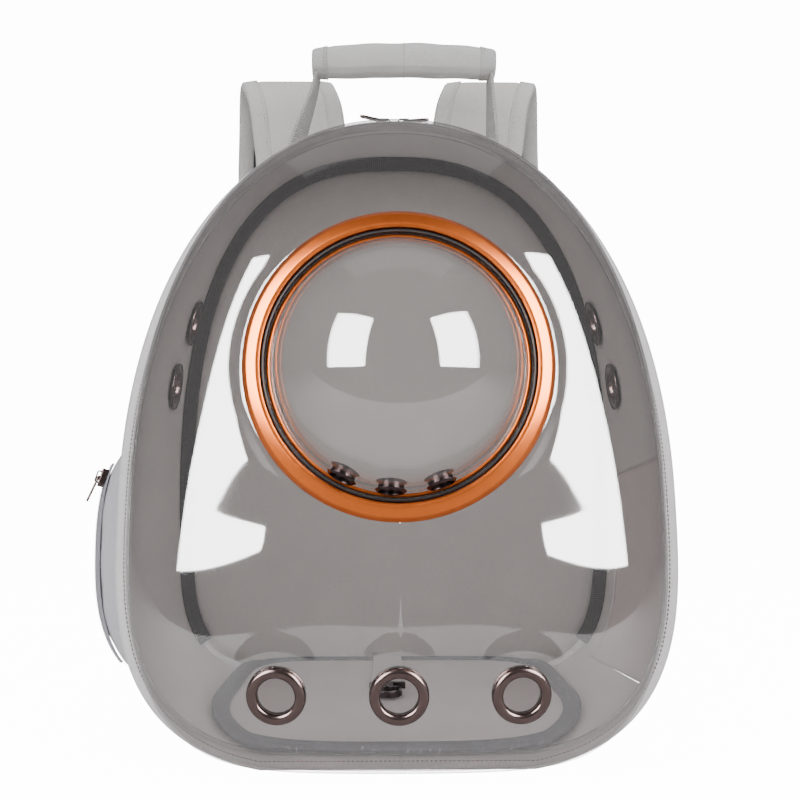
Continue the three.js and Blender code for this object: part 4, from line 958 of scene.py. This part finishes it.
# Row of stitches: small pointed beads lying along a path, one every pitch.
def stitchMesh(name, paths, pitch=0.0032, length=0.0024, thick=0.0007):
    verts, faces = [], []
    bead = np.array([[1, 0, 0], [-1, 0, 0], [0.3, 1, 0], [0.3, -1, 0], [0.3, 0, 1], [0.3, 0, -1],
                     [-0.3, 1, 0], [-0.3, -1, 0], [-0.3, 0, 1], [-0.3, 0, -1]])
    shape = []
    for k, (a, b) in enumerate(((2, 4), (4, 3), (3, 5), (5, 2))):
        shape += [(0, a, b), (1, b + 4, a + 4), (a, a + 4, b + 4), (a, b + 4, b)]
    shape = np.array(shape)
    for path in paths:
        path = np.asarray(path)
        step = np.linalg.norm(np.diff(path, axis=0), axis=1)
        along = np.concatenate([[0], np.cumsum(step)])
        at = np.arange(pitch / 2, along[-1], pitch)
        where = np.stack([np.interp(at, along, path[:, k]) for k in range(3)], -1)
        ahead = np.stack([np.interp(at + 1e-4, along, path[:, k]) for k in range(3)], -1)
        x = ahead - where
        x /= np.maximum(np.linalg.norm(x, axis=1, keepdims=True), 1e-12)
        y = np.cross(x, [0.31, 0.52, 0.79])
        y = unit(y)
        z = np.cross(x, y)
        size = bead * [length / 2, thick / 2, thick / 2]
        made = where[:, None]
        for k, way in enumerate((x, y, z)):
            made = made + size[None, :, k:k + 1] * way[:, None]
        first = sum(len(v) for v in verts) + np.arange(len(at)) * len(bead)
        verts.append(made.reshape(-1, 3))
        faces.append((shape[None] + first[:, None, None]).reshape(-1, 3))
    return buildMesh(name, np.concatenate(verts), np.concatenate(faces))


# Flat webbing's section: half its width and thickness, with corners cut off.
def webSection(half, thick, corner, edge):
    right = [(half - corner, -thick), (half, -edge), (half, edge), (half - corner, thick)]
    return [(-half, -edge), (-half + corner, -thick), *right, (-half + corner, thick), (-half, edge)]


strap = {"width": 0.074, "thick": 0.009, "inner": 0.029, "splay": 0.025, "bound": 0.0125, "cover": 0.0009,
         "start": 0.1178, "lean": -0.004, "gap": 0.001, "reach": 0.0515, "rise": 0.061, "drop": 0.242}
strapStations = [  # out, up or down, turn, splay
    (0.0, -0.28, 90, 0.0), (0.0, 0.0, 90, 0.15), (0.03, 0.62, 76, 0.35), (0.2, 0.92, 38, 0.6),
    (0.48, 1.0, 0, 0.75), (0.75, 0.85, -48, 0.85), (0.9, 0.41, -80, 0.9), (0.96, -0.12, -88, 0.95),
    (1.0, -0.41, -92, 1.0), (0.9, -0.72, -97, 1.0), (0.69, -1.0, -103, 1.0),
]


# The strap's middle line through its stations, with its directions across and through at each step.
def strapFrame(sign, number):
    out, level, turn, splay = smoothPath(strapStations, number).T
    turn = np.radians(turn)
    x = strap["lean"] + sign * (strap["inner"] + strap["width"] / 2 + strap["splay"] * splay)
    y = strap["start"] + strap["gap"] + strap["thick"] / 2 + strap["reach"] * out
    z = rim["height"] + level * np.where(level > 0, strap["rise"], strap["drop"])
    centres = np.stack([x, y, z], -1)
    across = np.tile([1.0, 0.0, 0.0], (number, 1))
    through = np.stack([0 * turn, -np.sin(turn), np.cos(turn)], -1)
    return centres, across, through


def addStraps():
    half, thick, bound = strap["width"] / 2, strap["thick"] / 2, strap["bound"]
    for side, sign in (("left", -1), ("right", 1)):
        number = count(220)
        centres, across, through = strapFrame(sign, number)
        a = np.linspace(-1, 1, count(40))
        crown = thick * (1 - np.abs(a) ** 5) ** 0.5
        channel = 1 - 0.12 * np.exp(-((np.abs(a) - (1 - bound / half)) / 0.035) ** 2)
        for name, way, finish in (("Front", 1, "strapCloth"), ("Pad", -1, "darkMesh")):
            top = np.stack([a * half * 0.985, way * crown * channel], -1)
            low = np.stack([a[::-1][1:-1] * half * 0.985, 0 * a[1:-1]], -1)
            section = np.concatenate([top, low])
            section = section if way > 0 else section[::-1]
            mesh = stripMesh(f"strap{name}_{side}", centres, across, through, section)
            addObject(mesh, finish, [f"shoulder_strap_{side}"])
        for edge in (-1, 1):
            t = np.linspace(-1, 1, 15)
            inAt = half - bound
            edgeLine = [(inAt, thick * 0.98)] + [(half - 0.0025 + 0.0028 * math.cos(x * math.pi / 2),
                        thick * 0.72 * math.sin(-x * math.pi / 2)) for x in t] + [(inAt, -thick * 0.98)]
            outer = [(px + 0.0002, py * (1 + strap["cover"] / thick)) for px, py in edgeLine]
            inner = [(px - strap["cover"], py * 0.8) for px, py in edgeLine[::-1]]
            section = [(edge * px, py) for px, py in outer + inner]
            section = section if edge > 0 else section[::-1]
            name = f"strapEdge_{side}_{'in' if edge * sign < 0 else 'out'}"
            mesh = stripMesh(name, centres, across, through, section)
            addObject(mesh, "herring", [f"shoulder_strap_{side}"])
        rows = [centres + across * edge * (half - bound + 0.0016) + through * way * thick * 1.1
                for edge in (-1, 1) for way in (1, -1)]
        addObject(stitchMesh(f"strapStitch_{side}", rows), "thread", [f"shoulder_strap_{side}"])


handle = {"length": 0.135, "shift": 0.0065, "y": 0.046, "low": 0.461, "height": 0.024, "thick": 0.028,
          "arch": 0.003, "end": 0.8, "wrap": 0.0125}
handleWeb = {"width": 0.024, "thick": 0.0026, "spread": {"left": 0.017, "right": 0.002}, "inset": 0.0035,
             "corner": 0.001, "turn": {"left": 24, "right": 15}}


# Section of the grip at a share of its half length, grown by cover, as (y, z) pairs round it.
def gripSection(along, cover=0.0, sides=48):
    size = mix(1, handle["end"], abs(along) ** 4)
    middle = handle["low"] + handle["height"] / 2 + handle["arch"] * (1 - along * along)
    angle = np.linspace(0, tau, sides, endpoint=False)
    c, s = np.cos(angle), np.sin(angle)
    seam = np.exp(-((angle - math.radians(222)) / 0.07) ** 2)
    groove = 1 - 0.05 * seam + 0.035 * np.exp(-((angle - math.radians(214)) / 0.1) ** 2)
    y = handle["y"] + np.sign(c) * np.abs(c) ** 0.82 * (handle["thick"] / 2 * groove + cover)
    z = middle + np.sign(s) * np.abs(s) ** 0.82 * (handle["height"] / 2 * size * groove + cover)
    return np.stack([y, z], -1)


def addGrip():
    def tube(name, low, high, cover, finish, number, bulged=0.0):
        stops = np.linspace(low, high, number)
        rings = []
        for along in stops:
            t = (along - low) / (high - low)
            shrink = bulged * (abs(2 * t - 1) ** 6)
            section = gripSection(along, cover - shrink)
            x = np.full(len(section), handle["shift"] + along * handle["length"] / 2)
            rings.append(np.column_stack([x, section]))
        grid = closedGrid(np.array(rings))
        grid[..., 1:] += softWaves(grid, 0.00035, 0.016)
        mesh = gridMesh(name, grid, True, weaveOf(grid)[..., ::-1], True)
        return addObject(mesh, finish, ["handle_grip"])

    wrap = handle["wrap"] / (handle["length"] / 2)
    tube("gripPad", -0.97, 0.97, 0.0, "gripCloth", count(90))
    tube("gripWrap_left", -1.0, -1 + wrap, 0.0007, "gripWrap", count(16), 0.0012)
    tube("gripWrap_right", 1 - wrap, 1.0, 0.0007, "gripWrap", count(16), 0.0012)
    rows = []
    for along in (-1 + wrap * 0.72, -1 + wrap * 0.86, 1 - wrap * 0.86, 1 - wrap * 0.72, 0.0):
        cover = 0.0009 if along else 0.0002
        section = gripSection(along, cover)
        x = np.full(len(section), handle["shift"] + along * handle["length"] / 2)
        ring = np.column_stack([x, section])
        rows.append(np.concatenate([ring, ring[:1]]))
    addObject(stitchMesh("gripStitch", rows, 0.0026, 0.002), "thread", ["handle_grip"])

    for side, sign in (("left", -1), ("right", 1)):
        low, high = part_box(f"handle_web_{side}")
        top = sign * (handle["length"] / 2 - handleWeb["inset"]) + handle["shift"]
        foot = top + sign * handleWeb["spread"][side]
        t = np.linspace(0, 1, count(60))
        x = mix(foot, top, smooth(t * 0.9 + 0.05) * 0.85 + t * 0.15)
        z = mix(low[2] + 0.001, high[2] + 0.002, t)
        turn = np.radians(mix(handleWeb["turn"][side], 3.0, smooth(t)))
        across = np.stack([sign * -np.sin(turn), np.cos(turn), 0 * t], -1)
        through = np.stack([np.cos(turn), sign * np.sin(turn), 0 * t], -1)
        centres = np.stack([x, np.full_like(t, handle["y"]), z], -1)
        half, thick = handleWeb["width"] / 2, handleWeb["thick"] / 2
        section = webSection(half, thick, handleWeb["corner"], thick * 0.6)
        mesh = stripMesh(f"handleWeb_{side}", centres, across, through, section)
        addObject(mesh, "webbing", [f"handle_web_{side}"])


# Copy of a CAD piece with its edges rounded off.
def softened(node, finish, bodyName="carrier", width=0.0004, segments=2):
    mesh = bpy.data.objects[node].data.copy()
    mesh.transform(bpy.data.objects[node].matrix_world)
    bm = bmesh.new()
    bm.from_mesh(mesh)
    bmesh.ops.remove_doubles(bm, verts=bm.verts, dist=2e-5)
    bmesh.ops.dissolve_limit(bm, angle_limit=0.02, verts=bm.verts, edges=bm.edges)
    sharp = [e for e in bm.edges if len(e.link_faces) == 2 and e.calc_face_angle(0) > 0.5]
    bmesh.ops.bevel(bm, geom=sharp, offset=width, segments=segments, profile=0.6, affect="EDGES",
                    clamp_overlap=True)
    bmesh.ops.recalc_face_normals(bm, faces=bm.faces)
    for face in bm.faces:
        face.smooth = True
    bm.to_mesh(mesh)
    bm.free()
    mesh.materials.clear()
    name = node.title().replace("_", "")
    obj = addObject(mesh, finish, [node], bodyName, name[0].lower() + name[1:])
    made = obj.modifiers.new("corners", "WEIGHTED_NORMAL")
    made.keep_sharp = False
    return obj


def addHardware():
    for node, bodyName in (("zip_slider_left", "carrier"), ("zip_slider_right", "carrier"),
                           ("zip_pull_left", "left_pull"), ("zip_pull_right", "right_pull"),
                           ("pocket_slider", "carrier"), ("pocket_pull", "pocket_tab")):
        softened(node, "gunmetal", bodyName, 0.0003)
    softened("lead_hook", "darkSteel", width=0.0009, segments=3)
    softened("hook_gate", "darkSteel", "gate", 0.0004)
    for side in ("left", "right"):
        softened(f"strap_buckle_{side}", "plastic", width=0.0008, segments=3)


# Half width, half thickness, cut corner and half edge of each webbing; foot and x are places across the part.
strapWeb = {"section": (0.0125, 0.001, 0.0007, 0.0007), "foot": 0.112}
leadWeb = {"section": (0.011, 0.0009, 0.0008, 0.0006), "x": -0.006, "lift": 0.0014}


# Webbing below each buckle, and the lead's webbing on the mat.
def addWebs():
    for side, sign in (("left", -1), ("right", 1)):
        low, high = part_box(f"strap_web_{side}")
        t = np.linspace(0, 1, count(70))
        startX = strap["lean"] + sign * (strap["inner"] + strap["width"] / 2 + strap["splay"])
        x = mix(startX, sign * strapWeb["foot"], t)
        y = mix(high[1] - 0.001, low[1] + 0.0012, t ** 0.7)
        z = mix(high[2], low[2], t)
        centres = np.stack([x, y, z], -1)
        along = np.gradient(centres, axis=0)
        along = unit(along)
        across = np.tile([1.0, 0, 0], (len(t), 1))
        through = np.cross(along, across)
        through = unit(through)
        section = webSection(*strapWeb["section"])
        mesh = stripMesh(f"strapWeb_{side}", centres, across, through, section)
        addObject(mesh, "webbing", [f"strap_web_{side}"])
    low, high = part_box("lead_strap")
    t = np.linspace(0, 1, count(90))
    y = mix(high[1], low[1], t)
    x = leadWeb["x"] + 0.0006 * np.sin(t * 5)
    z = matTop(y) + leadWeb["lift"] + 0.0005 * np.sin(t * 9) ** 2
    centres = np.stack([x + 0 * t, y, z], -1)
    across = np.tile([1.0, 0, 0], (len(t), 1))
    through = np.tile([0, 0, 1.0], (len(t), 1))
    mesh = stripMesh("leadWeb", centres, across, through, webSection(*leadWeb["section"]))
    addObject(mesh, "webbing", ["lead_strap"])


# A parameter's values at even steps of length along the path that it makes.
def evenSteps(path, values, pitch, first=0.0):
    length = np.concatenate([[0], np.cumsum(np.linalg.norm(np.diff(path, axis=0), axis=1))])
    return np.interp(np.arange(first, length[-1], pitch), length, values)


# Directions made square to others: what lies along them is taken away.
def squareTo(along, across):
    return unit(across - along * (across * along).sum(1, keepdims=True))


# Zip coil: small bars side by side along the tape, one every pitch.
def coilMesh(name, at, along, across, out, half=0.0016, thick=0.0009):
    ring = np.linspace(0, tau, 6, endpoint=False)
    size = thick / 2
    number = len(at)
    ends = []
    for reach in (-half, half):
        for a in ring:
            ends.append(at + across * reach + along * size * math.cos(a) + out * size * math.sin(a))
    verts = np.stack(ends, 1).reshape(-1, 3)
    shape = [(k, (k + 1) % 6, 6 + (k + 1) % 6, 6 + k) for k in range(6)]
    shape += [(0, 3, 2, 1), (0, 5, 4, 3), (6, 7, 8, 9), (6, 9, 10, 11)]
    faces = (np.array(shape)[None] + (np.arange(number) * 12)[:, None, None]).reshape(-1, 4)
    return buildMesh(name, verts, faces)


def addZip():
    end = angleAt(tape["endHeight"])
    angles = np.linspace(end + 0.01, math.pi - end - 0.01, 6000)
    middle = tape["start"] + tape["width"] / 2
    path = skin(angles, tape["inset"] - 0.0005, 0.0, middle)
    a = evenSteps(path, angles, tape["pitch"])
    centre = skin(a, tape["inset"] - 0.0004, 0.0, middle)
    along = skin(a + 1e-4, tape["inset"], 0.0, middle) - skin(a - 1e-4, tape["inset"], 0.0, middle)
    along = unit(along)
    across = squareTo(along, np.tile([0.0, 1.0, 0.0], (len(a), 1)))
    mesh = coilMesh("zipCoil", centre, along, across, np.cross(along, across))
    addObject(mesh, "coil", ["zip_tape"])


pocket = {"low": math.radians(213), "high": math.radians(168), "front": 0.1, "back": 0.84, "wall": 0.002,
          "bulge": 0.025, "gap": 0.0008}
pocketZip = {"across": 0.115, "width": 0.07, "end": 0.86, "slack": 0.0007, "thick": 0.0012}


# Height of the pouch over the skin at a place along (u) and across (v) it.
def pouch(u, v):
    return pocket["bulge"] * (1 - np.abs(u) ** 3) ** 0.6 * (1 - np.abs(v) ** 3) ** 0.6


# Point of the pouch: the skin pushed out by the pouch, its gap and a lift.
def pocketPoint(u, v, lift):
    angle = mix(pocket["low"], pocket["high"], (u + 1) / 2)
    share = mix(pocket["front"], pocket["back"], (v + 1) / 2)
    return skin(angle, -pouch(u, v) - pocket["gap"] - lift, share)


def addPocket():
    u, v = np.meshgrid(np.linspace(-1, 1, count(110)), np.linspace(-1, 1, count(80)))
    fold = 0.0009 * np.sin(v * 9 + 2.2 * np.sin(u * 2.3)) * (1 - u ** 2) * (1 - v ** 2)
    fold += 0.0006 * np.sin(u * 14 + v * 5) * (1 - u ** 4) * (1 - v ** 4)
    angle = mix(pocket["low"], pocket["high"], (u + 1) / 2)
    share = mix(pocket["front"], pocket["back"], (v + 1) / 2)
    outer = skin(angle, -pouch(u, v) - pocket["gap"] - pocket["wall"] - fold, share)
    inner = skin(angle, -pouch(u, v) * 0.97 - pocket["gap"] + 0.0004, share)
    mesh = wallMesh("pocketPouch", inner, outer)
    addObject(mesh, "pocketCloth", ["side_pocket"])

    height = np.linspace(-pocketZip["end"], pocketZip["end"], count(90))
    lift = pocket["wall"] + pocketZip["slack"] + body["gap"]
    cut = np.array([-1.0, -0.45, -0.12, 0.12, 0.45, 1.0])
    acrossV = (pocketZip["across"] + cut * pocketZip["width"] / 2) * 2 - 1
    rise = np.array([0.0, 0.0003, 0.0008, 0.0008, 0.0003, 0.0])
    uu, vv = np.meshgrid(height, acrossV)
    top = pocketPoint(uu, vv, lift + pocketZip["thick"] * 0.8 + rise[:, None])
    low = pocketPoint(uu, vv, lift)
    addObject(wallMesh("pocketTape", low, top), "zipTape", ["pocket_zip"])
    fineU = np.linspace(-pocketZip["end"], pocketZip["end"], 2000)
    middleV = pocketZip["across"] * 2 - 1
    path = pocketPoint(fineU, middleV, lift + 0.0024)
    at = evenSteps(path, fineU, tape["pitch"], 0.001)
    centre = pocketPoint(at, middleV, lift + 0.0018)
    along = pocketPoint(at + 0.01, middleV, lift) - pocketPoint(at - 0.01, middleV, lift)
    along = unit(along)
    across = pocketPoint(at, middleV + 0.05, lift) - pocketPoint(at, middleV - 0.05, lift)
    across = squareTo(along, across)
    mesh = coilMesh("pocketCoil", centre, along, across, np.cross(along, across), 0.0014)
    addObject(mesh, "darkCoil", ["pocket_zip"])


# Dark thread round the inner front edge of the binding, whose black also paints the shade of the gap between
# binding and shell, and a light one near its outer front edge.
def addBindingStitches():
    around = np.linspace(0, tau, 1500)
    half = binding["width"] / 2
    # Dark beads: stitches whose black also paints the shadow gap at the binding's inner edge.
    dark = skin(around, binding["thick"] - 0.0009, 0.0, -half - 0.0001)
    light = skin(around, 0.0016, 0.0, -half + 0.0007)
    for name, path, finish in (("bindingSeamAndGapShade", dark, "darkThreadGapShade"), ("bindingStitch", light, "thread")):
        addObject(stitchMesh(name, [path], 0.0028, 0.0021, 0.0008), finish, ["shell_binding"])


addBindingStitches()
addStraps()
addGrip()
addHardware()
addWebs()
addZip()
addPocket()
print("straps, grip, zips and pocket made")


# Stage: pale floor, soft lights, white studio that only the camera sees, camera at the photograph's place.
# Lights have a place, a target, a width and height, a radiance, and whether they show in reflections alone.
studio = {
    "glow": 14.0, "surround": 0.32, "floorX": (-6.0, 6.0), "floorY": (-0.55, 12.0),
    "lens": 54.16, "camera": (-0.0102, -0.847, 0.2272), "tilt": 90 - 0.185, "turn": -0.89,
    "lights": {
        "leftBox": ((-0.88, -0.97, 0.68), (0, -0.12, 0.4), (0.8, 0.98), 30, True),
        "rightBox": ((0.96, -0.87, 0.68), (0, -0.12, 0.4), (0.87, 0.98), 30, True),
        "leftLight": ((-1.1, -1.2, 0.7), (0, 0, 0.24), (0.9, 1.2), 2.0, False),
        "rightLight": ((1.2, -1.1, 0.7), (0, 0, 0.24), (0.9, 1.2), 2.0, False),
        "topLight": ((0.0, -0.2, 1.7), (0, 0, 0.2), (1.8, 1.4), 2.0, False),
        "topBox": ((0.0, 0.3, 1.6), (0, 0, 0.3), (1.4, 0.8), 0.3, True),
        "frontLight": ((0.0, -2.4, 0.8), (0, 0, 0.2), (1.6, 1.2), 3.8, False),
    },
}


def addLight(name, where, target, size, radiance, gloss):
    lamp = bpy.data.lights.new(name, "AREA")
    lamp.shape = "RECTANGLE"
    lamp.size, lamp.size_y = size
    lamp.energy = radiance * math.pi * size[0] * size[1]
    obj = bpy.data.objects.new(name, lamp)
    bpy.context.scene.collection.objects.link(obj)
    obj.location = where
    obj.rotation_euler = (Vector(target) - Vector(where)).to_track_quat("-Z", "Y").to_euler()
    obj.visible_diffuse = not gloss
    obj.visible_glossy = gloss


def addStage():
    g = Graph("studio floor")
    paper = g.noise(3.0, 2.0)
    tone = g.mix(paper, (0.8, 0.8, 0.805, 1), (0.84, 0.84, 0.84, 1))
    seen = g.node("ShaderNodeLightPath")
    card = g.principled(Base_Color=tone, Roughness=0.8, Specular_IOR_Level=0.2)
    glow = g.node("ShaderNodeEmission", inputs={"Color": (1, 1, 1, 1), "Strength": studio["glow"]})
    both = g.node("ShaderNodeAddShader", card, glow)
    finish = g.finish(g.node("ShaderNodeMixShader", seen, card, both))
    grid = np.array([[(x, y, 0.0) for x in studio["floorX"]] for y in studio["floorY"]])
    mesh = buildMesh("studioFloor", grid, gridFaces(*grid.shape[:2]))
    mesh.materials.append(finish)
    floor = bpy.data.objects.new("studioFloor", mesh)
    bpy.context.scene.collection.objects.link(floor)

    for name, light in studio["lights"].items():
        addLight(name, *light)

    world = bpy.data.worlds.new("studio")
    bpy.context.scene.world = world
    world.use_nodes = True
    tree = world.node_tree
    backdrop = tree.nodes["Background"]
    backdrop.inputs["Color"].default_value = (1, 1, 1, 1)
    level = tree.nodes.new("ShaderNodeMapRange")
    path = tree.nodes.new("ShaderNodeLightPath")
    level.inputs["To Min"].default_value = studio["surround"]
    level.inputs["To Max"].default_value = studio["glow"]
    tree.links.new(path.outputs["Is Camera Ray"], level.inputs["Value"])
    tree.links.new(level.outputs["Result"], backdrop.inputs["Strength"])

    lens = bpy.data.cameras.new("photoCamera")
    lens.sensor_width = 36
    lens.lens = studio["lens"]
    camera = bpy.data.objects.new("photoCamera", lens)
    bpy.context.scene.collection.objects.link(camera)
    camera.location = studio["camera"]
    camera.rotation_euler = (math.radians(studio["tilt"]), 0, math.radians(studio["turn"]))
    bpy.context.scene.camera = camera


addStage()
print("stage made")
